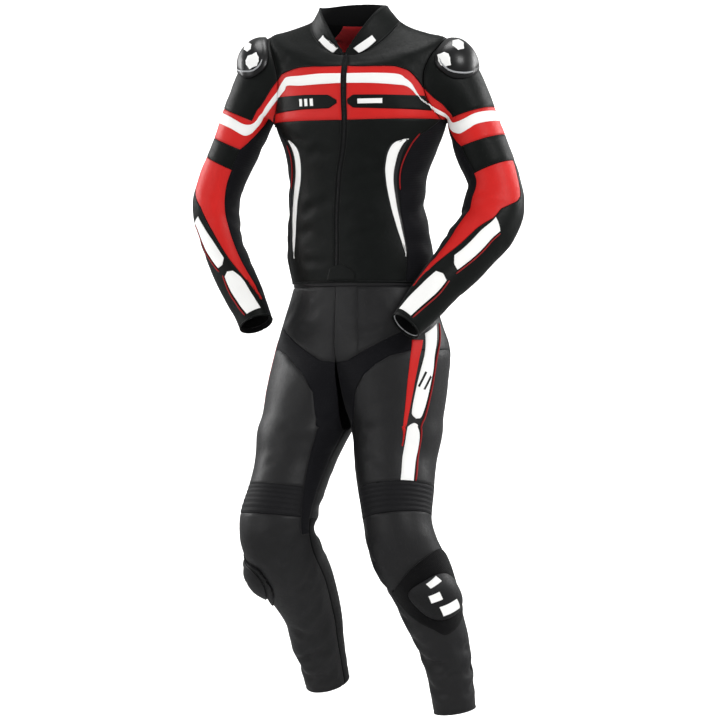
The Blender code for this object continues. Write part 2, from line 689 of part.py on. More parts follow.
RIB_ROWS = (6.9, 7.05, 7.2, 7.35, 7.5, 7.65, 7.8)
SHIN_ROWS = (8.4, 9.0, 9.6, 10.2, 10.8, 11.5, 12.2, 12.9, 13.5, 14)
GUSSET_LINE, THIGH_LINE = 2, 4
RIB_LINE = THIGH_LINE + 1 + len(THIGH_ROWS)
SHIN_LINE = RIB_LINE + len(RIB_ROWS) - 1
HEM_LINE = SHIN_LINE + len(SHIN_ROWS)
PAD_LINES = {1: (SHIN_LINE + 3, SHIN_LINE + 6), -1: (SHIN_LINE + 2, SHIN_LINE + 5)}
STRIPE_SHIFT, KNEE_ROW, SHIFT_FADE = {1: 0, -1: 15}, 8.4, 1.5
SLIDER_MIDDLE, SLIDER_REACH, SLIDER_SKEW = {1: (-34, 10.35), -1: (-31, 9.7)}, (44, 0.60), 18


def leg_angle(side, column, row):
    """The angle of a column. Above the knee, the stripes of the right leg lie a little further back."""
    shift = STRIPE_SHIFT[side] * min(max((KNEE_ROW - row) / SHIFT_FADE, 0), 1)
    marks = {
        0: -180,
        GUSSET_COLUMN: "gusset",
        RED_COLUMN: "red",
        WHITE_COLUMN: "white_front",
        WHITE_BACK: "white_back",
        SIDE_COLUMN: "side",
        LEG_COLUMNS_END: 180,
    }
    pairs = []
    for index, name in marks.items():
        seam = name if isinstance(name, int) else straight([(mark["row"], mark[name]) for mark in LEG_SEAMS], row)
        pairs.append((index, seam + shift * (RED_COLUMN <= index <= SIDE_COLUMN)))
    return straight(pairs, column)


def leg_rows(side, column):
    """The rows where a column crosses the lines, with the gusset's curved edges among them."""
    top = straight(GUSSET_TOP, leg_angle(side, column, 2))
    low = straight(GUSSET_LOW, leg_angle(side, column, 2.5))
    return (0, top / 2, top, (top + low) / 2, low, *THIGH_ROWS, *RIB_ROWS, *SHIN_ROWS)


def leg_net(side):
    knots, same = {}, {}
    for column in range(LEG_COLUMNS_END + 1):
        for line, row in enumerate(leg_rows(side, column)):
            knot = leg_point(side, leg_angle(side, column, row), row)
            if leg_closes(side, row) and line > THIGH_LINE:
                same[line, LEG_COLUMNS_END] = (line, 0)
            elif column in (0, LEG_COLUMNS_END):
                knot.x = side * SEAM / 2
            knots[line, column] = knot
    net = Net(knots, same)
    for key, out in net.outs.items():
        if key[1] in (0, LEG_COLUMNS_END) and (key[0], LEG_COLUMNS_END) not in same:
            net.outs[key] = Vector((0, out.y, out.z)).normalized()
    return net


def waist_net(body):
    """The waistband's knots: the jacket's hem moved in to lie inside it, and let down to the legs' top edge."""
    knots, same = {}, {}
    inside, top = LEATHER + SEAM, LEG[1][0]["height"]
    for (line, column), knot in body.knots.items():
        if line > 1:
            continue
        tucked = knot - body.outs[body.key(line, column)] * inside
        knots[line + 1, column] = tucked
        if line == 0:
            knots[0, column] = Vector((tucked.x, tucked.y, top))
    for line in range(3):
        same[line, mirrored(LAST_COLUMN)] = (line, LAST_COLUMN)
    return Net(knots, same)


def share_armhole_outs(body, sleeve, side):
    """Gives the body and a sleeve the same outward direction at each knot of the armhole, as in a mitre."""
    def own(column):
        return column if side > 0 else mirrored(column)

    pairs = [((BAND_LINE, own(FRONT_COLUMN + step)), (0, ARMPIT_COLUMN - step))
             for step in range(len(ARMPIT_ANGLES))]
    for step in range(1, SHOULDER_LINE - BAND_LINE + 1):
        pairs.append(((BAND_LINE + step, own(FRONT_COLUMN)), (0, ARMPIT_COLUMN + step)))
        back = body.key(BAND_LINE + step, own(BACK_COLUMN))
        pairs.append((back, sleeve.key(0, SLEEVE_COLUMNS - step)))
    for on_body, on_sleeve in pairs:
        both = (body.outs[on_body] + sleeve.outs[on_sleeve]).normalized()
        body.outs[on_body] = sleeve.outs[on_sleeve] = both


# The pieces.
def jacket_body(net):
    top, neck = (YOKE_LINE, NECK_LINE), (NECK_LINE, RIM_LINE)
    for side, word in SIDES.items():
        def own(columns, side=side):
            first, last = columns
            return columns if side > 0 else (mirrored(last), mirrored(first))

        front, flank = own((0, FRONT_COLUMN)), own((FRONT_COLUMN, BACK_COLUMN))
        trim = own((FRONT_COLUMN - 1, FRONT_COLUMN))
        panel(f"front_{word}", net, block((0, BAND_LINE), front), "jacket_leather")
        panel(f"chest_band_{word}", net, block((BAND_LINE, YOKE_LINE), front), "red_leather")
        overlay(f"chest_stripe_{word}", net, block((BAND_LINE + 2, BAND_LINE + 3), front), "white_leather")
        panel(f"front_yoke_{word}", net, block(top, front), "jacket_leather")
        panel(f"side_panel_{word}", net, block((0, BAND_LINE), flank), "stretch")
        overlay(f"pocket_trim_{word}", net, block((2, BAND_LINE - 1), trim), "white_leather")
    rear = [*range(BACK_COLUMN, LAST_COLUMN), *range(mirrored(LAST_COLUMN), mirrored(BACK_COLUMN))]

    def across_back(lines):
        return [(line, column) for line in range(*lines) for column in rear]

    panel("back_lower", net, across_back((0, BAND_LINE)), "jacket_leather")
    panel("back_band", net, across_back((BAND_LINE, YOKE_LINE)), "red_leather")
    panel("back_yoke", net, across_back(top), "jacket_leather")
    sides = [*range(0, FRONT_COLUMN), *range(BACK_COLUMN, LAST_COLUMN)]
    around = [*sides, *(mirrored(column + 1) for column in sides)]
    collar = [(line, column) for line in range(*neck) for column in around]
    panel("collar", net, collar, "jacket_leather", COLLAR_WALL)
    zip_cells = block((0, NECK_LINE), (-1, 0))
    panel("front_zip", net, zip_cells, "zip_black", LEATHER - ZIP_SINK, -ZIP_SINK)
    label = block((YOKE_LINE + 2, NECK_LINE), (mirrored(LAST_COLUMN), mirrored(LAST_COLUMN) + 2))
    panel("neck_label", net, label, "label_red", LABEL, -LEATHER - SEAM)


def jacket_sleeve(net, side, word):
    around = range(SLEEVE_COLUMNS)
    head = block((0, BAND_TOP_LINE), (HEAD_FRONT, HEAD_BACK))
    band = [(line, column) for line in range(BAND_FOOT_LINE) for column in around
            if column >= ARMPIT_COLUMN and (line, column) not in head]
    inner = [(line, column) for line in range(CUFF_LINE) for column in around
             if column < ARMPIT_COLUMN
             or line >= BAND_FOOT_LINE and not STRETCH_FRONT <= column < STRETCH_BACK]
    red = block((RED_TOP_LINE, RED_TIP_LINE), (STRETCH_FRONT, RED_EDGE))
    lower = [place for place in block((BAND_FOOT_LINE, CUFF_LINE), (STRETCH_FRONT, STRETCH_BACK))
             if place not in red]
    panel(f"sleeve_head_{word}", net, head, "jacket_leather")
    panel(f"sleeve_band_{word}", net, band, "red_leather")
    overlay(f"sleeve_stripe_{word}", net, block((STRIPE_LINE, STRIPE_LINE + 1), (HEAD_FRONT, HEAD_BACK)),
            "white_leather")
    panel(f"sleeve_stretch_{word}", net, inner, "stretch")
    panel(f"forearm_panel_{word}", net, red, "red_leather")
    panel(f"sleeve_lower_{word}", net, lower, "jacket_leather")
    overlay(f"forearm_bar_{word}", net, block((BAR_LINE, CUFF_LINE - 1), (BAR_FRONT, BAR_BACK)),
            "white_leather")

    shell(f"shoulder_cup_{word}", lambda a, r: sleeve_point(side, a, r), CUP_MIDDLE, CUP_REACH,
          CUP_RISE, HARD_REST, "hard_black")


def trouser_leg(net, side, word):
    def rib(key):
        line, column = key
        ribbed = RIB_LINE < line < SHIN_LINE and GUSSET_COLUMN < column < SIDE_COLUMN
        return RIB_HEIGHT if ribbed and (line - RIB_LINE) % 2 else 0

    front, flank = (0, RED_COLUMN), (RED_COLUMN, SIDE_COLUMN)
    rear = (SIDE_COLUMN, LEG_COLUMNS_END)
    hip = block((0, GUSSET_LINE), front) + block((0, THIGH_LINE), flank)
    gusset = block((GUSSET_LINE, THIGH_LINE), front) + block((THIGH_LINE, SHIN_LINE + 1), (0, GUSSET_COLUMN))
    thigh = block((THIGH_LINE, RIB_LINE), (GUSSET_COLUMN, LEG_COLUMNS_END)) + block((RIB_LINE, SHIN_LINE), rear)
    shin = block((SHIN_LINE, HEM_LINE), (GUSSET_COLUMN, SIDE_COLUMN)) + block((SHIN_LINE + 1, HEM_LINE), (0, 1))
    panel(f"hip_front_{word}", net, hip, "leather")
    panel(f"seat_{word}", net, block((0, THIGH_LINE), rear), "leather")
    panel(f"gusset_{word}", net, gusset, "stretch")
    panel(f"thigh_{word}", net, thigh, "leather")
    panel(f"knee_stretch_{word}", net, block((RIB_LINE, SHIN_LINE), (GUSSET_COLUMN, SIDE_COLUMN)), "stretch",
          raised=rib)
    panel(f"shin_{word}", net, shin, "leather")
    panel(f"calf_{word}", net, block((SHIN_LINE, HEM_LINE), rear), "leather")
    overlay(f"side_stripe_red_{word}", net, block((THIGH_LINE - 1, RIB_LINE - 1), (RED_COLUMN, WHITE_COLUMN)),
            "red_leather")
    overlay(f"side_stripe_white_{word}", net, block((GUSSET_LINE, RIB_LINE), (WHITE_COLUMN, WHITE_BACK)),
            "white_leather")
    overlay(f"knee_pad_{word}", net, block(PAD_LINES[side], (RED_COLUMN - 1, SIDE_COLUMN)), "hook_pad", PAD_WALL)
    shell(f"knee_slider_{word}", lambda around, row: leg_point(side, around, row), SLIDER_MIDDLE[side],
          SLIDER_REACH, SLIDER_RISE, PAD_WALL + SEAM + HARD_REST, "slider_grey", SLIDER_SKEW)
    if side > 0:
        overlay("fly", net, block((0, GUSSET_LINE), (0, GUSSET_COLUMN)), "leather")


for old in list(bpy.data.objects):
    bpy.data.objects.remove(old)
suit = bpy.data.collections.new("motorcycle_race_suit")
bpy.context.scene.collection.children.link(suit)

body = body_net()
sleeves = {side: sleeve_net(side) for side in SIDES}
for side, sleeve in sleeves.items():
    share_armhole_outs(body, sleeve, side)
jacket_body(body)
for side, word in SIDES.items():
    jacket_sleeve(sleeves[side], side, word)
    trouser_leg(leg_net(side), side, word)
panel("waistband", waist_net(body), block((0, 2), (mirrored(LAST_COLUMN), LAST_COLUMN)), "leather")
print(len(suit.objects), "pieces,", sum(len(o.data.polygons) for o in suit.objects), "faces")
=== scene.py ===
# %% [markdown]
# # A two-piece motorcycle race suit
# A race suit is a jacket and a pair of trousers, cut from thick cowhide and joined at the waist by a zip.
# It is filled out here as if worn, with nobody inside. Each cut piece of leather becomes one thin closed
# shell, laid on the same tubes as the solid parts: one tube for the body, two for the sleeves and two for
# the legs.

# %% Load the solid parts
import math
from collections import namedtuple

import bmesh
import bpy
import numpy as np
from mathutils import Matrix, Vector, kdtree, noise


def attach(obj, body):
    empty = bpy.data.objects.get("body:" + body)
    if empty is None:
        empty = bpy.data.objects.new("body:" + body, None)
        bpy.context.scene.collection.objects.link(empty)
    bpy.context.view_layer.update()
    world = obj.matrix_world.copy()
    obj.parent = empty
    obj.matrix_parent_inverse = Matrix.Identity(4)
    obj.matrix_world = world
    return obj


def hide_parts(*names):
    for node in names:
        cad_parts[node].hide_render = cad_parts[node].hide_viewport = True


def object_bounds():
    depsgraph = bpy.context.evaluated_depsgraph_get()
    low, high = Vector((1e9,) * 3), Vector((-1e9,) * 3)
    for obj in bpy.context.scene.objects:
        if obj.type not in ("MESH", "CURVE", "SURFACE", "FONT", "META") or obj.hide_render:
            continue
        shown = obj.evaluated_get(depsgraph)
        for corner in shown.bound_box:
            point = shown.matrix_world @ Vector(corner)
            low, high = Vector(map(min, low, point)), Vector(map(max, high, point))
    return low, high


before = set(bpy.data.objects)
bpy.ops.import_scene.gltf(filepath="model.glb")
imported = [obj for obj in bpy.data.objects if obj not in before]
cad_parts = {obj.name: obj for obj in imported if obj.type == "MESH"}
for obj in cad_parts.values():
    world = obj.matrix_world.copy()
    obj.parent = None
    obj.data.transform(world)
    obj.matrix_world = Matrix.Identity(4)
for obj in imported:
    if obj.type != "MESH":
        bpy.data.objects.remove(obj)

CAD_BOX = [[float(number) for number in corner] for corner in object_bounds()]
print("solid parts:", len(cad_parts), "box", CAD_BOX)

# %% [markdown]
# ## The camera and the studio
# The suit is seen from its front left, at the height of its middle, with a long lens so that it is hardly
# distorted. A pale floor runs up behind it in one sweep, and large soft lights stand round it, as for a
# catalogue. The floor lies well below the hems, because the suit hangs from its shoulders.

# %% Place the camera
HELD_AT = np.array([-0.009, -0.005, 1.400])
CAMERA_PLACE, VIEW_TURN, LENS, SENSOR = (2.5785, -4.8580, 0.7320), 28, 134.15, 36


def add_object(name, data):
    made = bpy.data.objects.new(name, data)
    bpy.context.scene.collection.objects.link(made)
    return made


def add_camera():
    data = bpy.data.cameras.new("camera")
    data.lens, data.sensor_width = LENS, SENSOR
    camera = add_object("camera", data)
    camera.location = Vector(CAMERA_PLACE) - Vector(HELD_AT)
    camera.rotation_euler = (math.radians(90), 0, math.radians(VIEW_TURN))
    bpy.context.scene.camera = camera
    return camera


print("camera at", tuple(round(x, 3) for x in add_camera().location))

# %% Colours are given as on a screen, and turned to the linear values that shaders use


def colour(code):
    parts = [int(code[i:i + 2], 16) / 255 for i in (1, 3, 5)]
    return (*[p / 12.92 if p <= 0.04045 else ((p + 0.055) / 1.055) ** 2.4 for p in parts], 1)


print("mid grey is", colour("#808080")[0])

# %% One function adds a node with its settings and its links


def add_node(tree, kind, settings=(), inputs=()):
    node = tree.nodes.new("ShaderNode" + kind)
    for name, value in dict(settings).items():
        setattr(node, name, value)
    for name, value in dict(inputs).items():
        if isinstance(value, bpy.types.NodeSocket):
            tree.links.new(value, node.inputs[name])
        else:
            node.inputs[name].default_value = value
    return node


def new_material(name, base, roughness, **sockets):
    made = bpy.data.materials.new(name)
    made.use_nodes = True
    shader = made.node_tree.nodes["Principled BSDF"]
    shader.inputs["Base Color"].default_value = colour(base)
    shader.inputs["Roughness"].default_value = roughness
    for socket, value in sockets.items():
        shader.inputs[socket.replace("_", " ")].default_value = value
    made.diffuse_color = colour(base)
    return made, made.node_tree, shader


def add_bump(tree, height, distance, strength, **links):
    inputs = {"Height": height, "Distance": distance, "Strength": strength, **links}
    return add_node(tree, "Bump", {}, inputs).outputs["Normal"]


def mix_colours(tree, share, shade, base):
    """A colour from the shade, at share 0, to the base, at share 1. Either can come from another node."""
    ends = [end if isinstance(end, bpy.types.NodeSocket) else colour(end) for end in (shade, base)]
    return add_node(tree, "Mix", {"data_type": "RGBA"}, {0: share, 6: ends[0], 7: ends[1]}).outputs[2]


print("node helpers ready")

# %% Build the studio. The sweep is one-sided, so that it never hides the suit from behind
FLOOR_DROP, FLOOR_FRONT, FLOOR_BACK, BEND, WALL_TOP, HALF_WIDTH, BEND_STEPS = 0.42, 6.5, -1.6, 1.6, 7.0, 7, 12
VIEW = math.radians(VIEW_TURN)
toward, aside = Vector((math.sin(VIEW), -math.cos(VIEW), 0)), Vector((-math.cos(VIEW), -math.sin(VIEW), 0))
FLOOR_LOW = CAD_BOX[0][2] - FLOOR_DROP


def studio_place(ahead, wide, up):
    return toward * ahead + aside * wide + Vector((0, 0, up))


def paper_material():
    made, tree, shader = new_material("white_paper_sweep", "#FCFCFC", 0.9)
    grain = add_node(tree, "TexNoise", {}, {"Scale": 900.0})
    tree.links.new(add_bump(tree, grain.outputs["Fac"], 0.0002, 0.2), shader.inputs["Normal"])
    one_sided = add_node(tree, "MixShader", {}, {
        0: add_node(tree, "NewGeometry").outputs["Backfacing"], 1: shader.outputs["BSDF"],
        2: add_node(tree, "BsdfTransparent").outputs["BSDF"]})
    tree.links.new(one_sided.outputs[0], tree.nodes["Material Output"].inputs["Surface"])
    return made


def add_floor():
    turns = [math.radians(90) * step / BEND_STEPS for step in range(BEND_STEPS + 1)]
    profile = [(FLOOR_FRONT, 0.0)]
    profile += [(FLOOR_BACK - BEND * math.sin(turn), BEND - BEND * math.cos(turn)) for turn in turns]
    profile.append((FLOOR_BACK - BEND, WALL_TOP))
    edges = -HALF_WIDTH, HALF_WIDTH
    points = [studio_place(ahead, wide, FLOOR_LOW + up) for ahead, up in profile for wide in edges]
    faces = [(2 * i, 2 * i + 2, 2 * i + 3, 2 * i + 1) for i in range(len(profile) - 1)]
    mesh = bpy.data.meshes.new("studio_floor")
    mesh.from_pydata(points, [], faces)
    mesh.shade_smooth()
    mesh.materials.append(paper_material())
    floor = add_object("studio_floor", mesh)
    floor.visible_glossy = False


add_floor()
print("the floor lies at", round(FLOOR_LOW, 3))

# %% The lights: place (toward the camera, to its side and up), size, power and where each points
SUIT_MIDDLE = (0, 0, -0.65)
SWEEP_PLACE, SWEEP_TARGET, SWEEP_SIZE, SWEEP_POWER = (-0.9, 2.6, 0.4), (-3.2, 0.4, -0.7), 1.6, 85
LIGHTS = {
    "key": ((2.6, -2.2, 1.5), 1.4, 72),
    "fill": ((2.4, 2.8, 0.2), 2.2, 26),
    "top": ((-0.3, 0, 2.6), 1.6, 44),
    "back_left": ((-1.9, -2.4, 0.9), 1.4, 22),
    "back_right": ((-1.9, 2.4, 0.9), 1.4, 22),
}


def add_light(name, place, size, power, target):
    data = bpy.data.lights.new(name, "AREA")
    data.shape, data.size, data.energy = "DISK", size, power
    light = add_object(name, data)
    light.location = place
    light.rotation_euler = (Vector(target) - place).to_track_quat("-Z", "Y").to_euler()


for name, (place, size, power) in LIGHTS.items():
    add_light(name, studio_place(*place), size, power, SUIT_MIDDLE)
for name, turn in (("sweep_left", -1), ("sweep_right", 1)):
    place, target = (studio_place(ahead, wide * turn, up) for ahead, wide, up in (SWEEP_PLACE, SWEEP_TARGET))
    add_light(name, place, SWEEP_SIZE, SWEEP_POWER, target)
world = bpy.data.worlds.new("studio_white")
world.use_nodes = True
world.node_tree.nodes["Background"].inputs["Color"].default_value = (1, 1, 1, 1)
world.node_tree.nodes["Background"].inputs["Strength"].default_value = 0.45
bpy.context.scene.world = world
bpy.context.scene.view_settings.view_transform = "Standard"
print("lights:", len(bpy.data.lights))

# %% [markdown]
# ## Sizes
# These tables are the suit's pattern. Each row of a tube's table is one ring: its centre, its half width,
# its depth and its turn. All sizes are metres and degrees. The wearer's left is side 1 and stands towards
# +X.

# %% Walls and seams
LEATHER, TRIM, LABEL, COLLAR_WALL, PAD_WALL = 0.0024, 0.0012, 0.0008, 0.0030, 0.0035
SEAM, HARD_REST, CUP_RISE, SLIDER_RISE, RIB_HEIGHT = 0.0003, 0.0012, 0.016, 0.016, 0.0009
SIDES = {1: "left", -1: "right"}


def table(columns, *rows):
    return [dict(zip(columns.split(), row)) for row in rows]


def side_of(name):
    return 1 if name.endswith("left") else -1


print("leather is", LEATHER * 1000, "mm thick")

# %% The body's rings, from the hem up to the collar's rim
BODY = table(
    "height front_dip back_dip side fore half front back turn lean",
    (0.889, 0.000, 0.000, 0.000, 0.000, 0.151, 0.112, 0.112, 0, 0),
    (0.945, 0.000, 0.000, -0.003, -0.002, 0.158, 0.109, 0.108, 2, 0),
    (1.000, 0.000, 0.000, -0.007, -0.004, 0.152, 0.104, 0.102, 3, 0),
    (1.050, 0.000, 0.000, -0.009, -0.005, 0.148, 0.102, 0.099, 5, 0),
    (1.105, 0.000, 0.000, -0.007, -0.004, 0.1465, 0.107, 0.104, 7, 0),
    (1.160, 0.000, 0.000, -0.002, -0.001, 0.160, 0.116, 0.114, 10, 0),
    (1.214, 0.000, 0.000, -0.002, -0.001, 0.179, 0.122, 0.122, 12, 0),
    (1.262, 0.006, 0.000, -0.004, -0.002, 0.184, 0.119, 0.126, 12, 0),
    (1.313, 0.017, 0.003, -0.006, -0.003, 0.190, 0.111, 0.124, 12, 0.001),
    (1.361, 0.039, 0.009, -0.007, -0.004, 0.194, 0.101, 0.115, 12, 0.004),
    (1.393, 0.0595, 0.009, -0.007, -0.004, 0.186, 0.093, 0.100, 12, 0.007),
    (1.404, 0.062, 0.004, -0.008, -0.004, 0.150, 0.087, 0.088, 12, 0.007),
    (1.414, 0.067, 0.002, -0.009, -0.005, 0.118, 0.082, 0.079, 12, 0.006),
    (1.425, 0.077, 0.000, -0.010, -0.006, 0.094, 0.078, 0.071, 13, 0.003),
    (1.440, 0.091, -0.005, -0.013, -0.007, 0.081, 0.0765, 0.067, 13, 0.001),
    (1.4555, 0.107, -0.012, -0.015, -0.008, 0.070, 0.075, 0.066, 13, 0),
)
ARMPIT, SHOULDER, NECK, RIM = 6, 10, 13, 15
ARMHOLE_FRONT, ARMHOLE_BACK, DIP_POWER = 36, 34, 1.5
SHOULDER_TURN, HEAD_OPENING, HEAD_FALL, HEAD_BOW = 12, 0.35, 0.25, 1.0
print("body rings:", len(BODY))

# %% The sleeves' rings, from below the sleeve head to the cuff
SLEEVE = {
    1: table(
        "side fore height half depth turn",
        (0.2175, 0.0625, 1.2310, 0.0500, 0.061, 12),
        (0.2371, 0.0693, 1.1624, 0.0550, 0.058, 14),
        (0.2635, 0.0730, 1.0968, 0.0535, 0.054, 17),
        (0.2645, 0.0663, 1.0435, 0.0620, 0.056, 20),
        (0.2615, 0.0487, 1.0015, 0.0605, 0.054, 24),
        (0.2435, 0.0186, 0.9640, 0.0570, 0.052, 26),
        (0.2230, -0.0126, 0.9220, 0.0515, 0.049, 28),
        (0.2000, -0.0466, 0.8825, 0.0450, 0.046, 28),
        (0.1817, -0.0756, 0.8456, 0.0410, 0.042, 28),
        (0.1581, -0.1141, 0.7995, 0.0330, 0.035, 28),
    ),
    -1: table(
        "side fore height half depth turn",
        (-0.2271, -0.0641, 1.2444, 0.0530, 0.062, 12),
        (-0.2612, -0.0724, 1.1624, 0.0485, 0.057, 12),
        (-0.2885, -0.0774, 1.1009, 0.0475, 0.052, 12),
        (-0.2980, -0.0792, 1.0456, 0.0480, 0.052, 12),
        (-0.2880, -0.0829, 0.9943, 0.0450, 0.048, 12),
        (-0.2605, -0.0909, 0.9307, 0.0425, 0.046, 12),
        (-0.2265, -0.1000, 0.8754, 0.0410, 0.043, 12),
        (-0.1991, -0.1102, 0.8344, 0.0365, 0.038, 12),
        (-0.1826, -0.1174, 0.8057, 0.0345, 0.036, 12),
    ),
}
print("sleeve rings:", len(SLEEVE[1]), len(SLEEVE[-1]))

# %% The legs' rings, from the waist to the hem. Tilt 0 keeps a ring level and 1 squares it to the leg's run
LEG_COLUMNS = "side fore height half front back turn tilt"
HIPS = (
    (0.000, 0.000, 0.8800, 0.1483, 0.1093, 0.1093, 0, 0),
    (0.012, 0.000, 0.8160, 0.1570, 0.1160, 0.1190, 0, 0),
    (0.035, 0.000, 0.7524, 0.1540, 0.1190, 0.1290, 0, 0),
)
LEG = {
    1: table(
        LEG_COLUMNS,
        *HIPS,
        (0.070, -0.010, 0.6800, 0.1170, 0.108, 0.122, 0, 0),
        (0.088, -0.020, 0.6190, 0.0960, 0.098, 0.104, 0, 0.1),
        (0.0945, -0.0256, 0.5800, 0.0905, 0.095, 0.097, 0, 0.2),
        (0.100, -0.044, 0.5270, 0.0820, 0.088, 0.088, 1, 0.4),
        (0.115, -0.070, 0.4650, 0.0750, 0.080, 0.080, 2, 0.7),
        (0.127, -0.086, 0.4040, 0.0680, 0.073, 0.073, 3, 1),
        (0.139, -0.083, 0.3526, 0.0700, 0.072, 0.072, 3, 1),
        (0.160, -0.055, 0.2910, 0.0655, 0.068, 0.070, 3, 1),
        (0.1735, -0.024, 0.2194, 0.0580, 0.063, 0.067, 3, 1),
        (0.185, 0.0015, 0.1580, 0.0510, 0.057, 0.060, 3, 1),
        (0.1915, 0.019, 0.0964, 0.0450, 0.052, 0.052, 3, 1),
        (0.198, 0.029, 0.0246, 0.0420, 0.046, 0.046, 3, 1),
    ),
    -1: table(
        LEG_COLUMNS,
        *HIPS,
        (0.077, -0.030, 0.6800, 0.1130, 0.108, 0.126, 0, 0),
        (0.090, -0.055, 0.6190, 0.0980, 0.100, 0.108, 0, 0.1),
        (0.096, -0.077, 0.5800, 0.0925, 0.096, 0.100, -1, 0.2),
        (0.100, -0.100, 0.5270, 0.0800, 0.086, 0.086, -4, 0.3),
        (0.104, -0.132, 0.4650, 0.0755, 0.080, 0.076, -6, 0.4),
        (0.108, -0.157, 0.4040, 0.0790, 0.078, 0.072, -8, 0.5),
        (0.1045, -0.145, 0.3526, 0.0780, 0.076, 0.074, -10, 0.75),
        (0.1015, -0.092, 0.2910, 0.0720, 0.072, 0.078, -10, 1),
        (0.0975, -0.038, 0.2194, 0.0565, 0.063, 0.068, -10, 1),
        (0.1020, -0.006, 0.1580, 0.0530, 0.057, 0.060, -10, 1),
        (0.102, 0.0215, 0.1066, 0.0480, 0.052, 0.052, -10, 1),
        (0.1007, 0.039, 0.0636, 0.0445, 0.048, 0.048, -10, 1),
    ),
}
FADE_POWER = 6
print("leg rings:", len(LEG[1]), len(LEG[-1]))

# %% The largest folds, which the solid parts have too
FOLD_COLUMNS = "around row reach slant width height"
FOLDS = {
    "body": table(
        FOLD_COLUMNS,
        (100, 2.9, 60, 0.5, 0.30, -0.005),
        (-105, 2.6, 60, 0.6, 0.30, -0.005),
        (150, 3.3, 50, -0.5, 0.30, -0.004),
        (-150, 3.6, 50, 0.5, 0.30, -0.004),
    ),
    "sleeve": table(
        FOLD_COLUMNS,
        (-90, 3.9, 70, 0.3, 0.30, -0.003),
        (-80, 4.8, 65, -0.3, 0.30, -0.003),
        (-100, 5.5, 60, 0.3, 0.28, -0.004),
        (-75, 0.55, 50, 0.2, 0.25, -0.004),
    ),
    "leg": table(
        FOLD_COLUMNS,
        (-125, 0.75, 50, 0.45, 0.22, -0.004),
        (-135, 1.45, 55, -0.35, 0.22, -0.004),
        (170, 8.6, 80, 0.2, 0.60, -0.003),
        (150, 9.8, 70, -0.3, 0.50, -0.004),
        (-140, 8.9, 45, 0.3, 0.22, -0.004),
        (-110, 12.2, 60, 0.5, 0.24, -0.004),
        (-60, 12.9, 60, -0.4, 0.22, -0.004),
        (-120, 11.5, 50, 0.4, 0.22, -0.003),
        (90, 12.4, 60, 0.4, 0.24, -0.004),
    ),
}
print("large folds:", sum(map(len, FOLDS.values())))

# %% [markdown]
# ## The tubes
# Each tube is a function: it takes an angle around the limb and a row along it, and gives the point on the
# leather's outer face. Rows lie on a smooth curve through the table, so a ring can be taken anywhere. NumPy
# works out many points at once.

# %% Read a table's column between its rows


def smooth(rows, name, at):
    values = np.array([row[name] for row in rows], float)
    last = len(values) - 1
    at = np.clip(np.asarray(at, float), 0, last)
    low = np.minimum(at.astype(int), last - 1)
    part = at - low
    ends = np.concatenate([[2 * values[0] - values[1]], values, [2 * values[-1] - values[-2]]])
    a, b, c, d = (ends[low + step] for step in range(4))
    return 0.5 * (2 * b + (c - a) * part + (2 * a - 5 * b + 4 * c - d) * part**2
                  + (3 * b - 3 * c + d - a) * part**3)


def straight(pairs, at):
    """A value read from (place, value) pairs, on straight runs between them."""
    return float(np.interp(at, [x for x, _ in pairs], [y for _, y in pairs]))


def unit(vectors):
    return vectors / np.maximum(np.linalg.norm(vectors, axis=-1, keepdims=True), 1e-12)


def bearing(degrees):
    angle = np.radians(degrees)
    return np.stack([np.cos(angle), np.sin(angle), 0 * angle], -1)


def dot(a, b):
    return np.sum(a * b, -1, keepdims=True)


def fold_height(folds, around, row):
    height = np.zeros_like(around)
    for fold in folds:
        across = ((around - fold["around"] + 180) % 360 - 180) / fold["reach"]
        along = (row - fold["row"] - fold["slant"] * across) / fold["width"]
        bell = np.exp(-along**2) * np.cos(across * math.pi / 2) ** 2
        height += np.where(np.abs(across) < 1, fold["height"] * bell, 0)
    return height


print("waist half width:", round(float(smooth(BODY, "half", 3.5)), 4), "m")

# %% The body


def ring_centre(rows, row):
    return np.stack([smooth(rows, name, row) for name in ("side", "fore", "height")], -1)


def body_point(around, row):
    angle = np.radians(around)
    s, c = np.sin(angle)[:, None], np.cos(angle)[:, None]
    ahead = c[:, 0] > 0
    depth = np.where(ahead, smooth(BODY, "front", row), smooth(BODY, "back", row))[:, None]
    dip = np.where(ahead, smooth(BODY, "front_dip", row), smooth(BODY, "back_dip", row))[:, None]
    wide = bearing(smooth(BODY, "turn", row))
    deep = np.stack([wide[:, 1], -wide[:, 0], 0 * wide[:, 0]], -1)
    swell = fold_height(FOLDS["body"], around, row)[:, None]
    rounded = np.abs(c) ** DIP_POWER
    collar_part = np.where(ahead, np.clip((row - NECK) / (RIM - NECK), 0, 1), 0)[:, None]
    sink = dip * (rounded + (1 - np.abs(s) - rounded) * collar_part) + smooth(BODY, "lean", row)[:, None] * s
    half = smooth(BODY, "half", row)[:, None]
    up = np.array([0, 0, 1.0])
    return ring_centre(BODY, row) + wide * (half + swell) * s + deep * (depth + swell) * c - up * sink


def armhole(side, around):
    """A place on the body's armhole: 0 is its front, 90 the shoulder point and -90 the armpit."""
    angle = np.radians(around)
    cut = np.where(np.cos(angle) > 0, ARMHOLE_FRONT, ARMHOLE_BACK)
    row = (ARMPIT + SHOULDER) / 2 + (SHOULDER - ARMPIT) / 2 * np.sin(angle)
    return side * (90 - cut * np.cos(angle)), row


print("shoulder point:", body_point(np.array([90.0]), np.array([10.0])).round(3))

# %% The sleeves


def run(rows, row):
    step = 0.05
    after, before = np.minimum(row + step, len(rows) - 1), np.maximum(row - step, 0)
    return unit(ring_centre(rows, after) - ring_centre(rows, before))


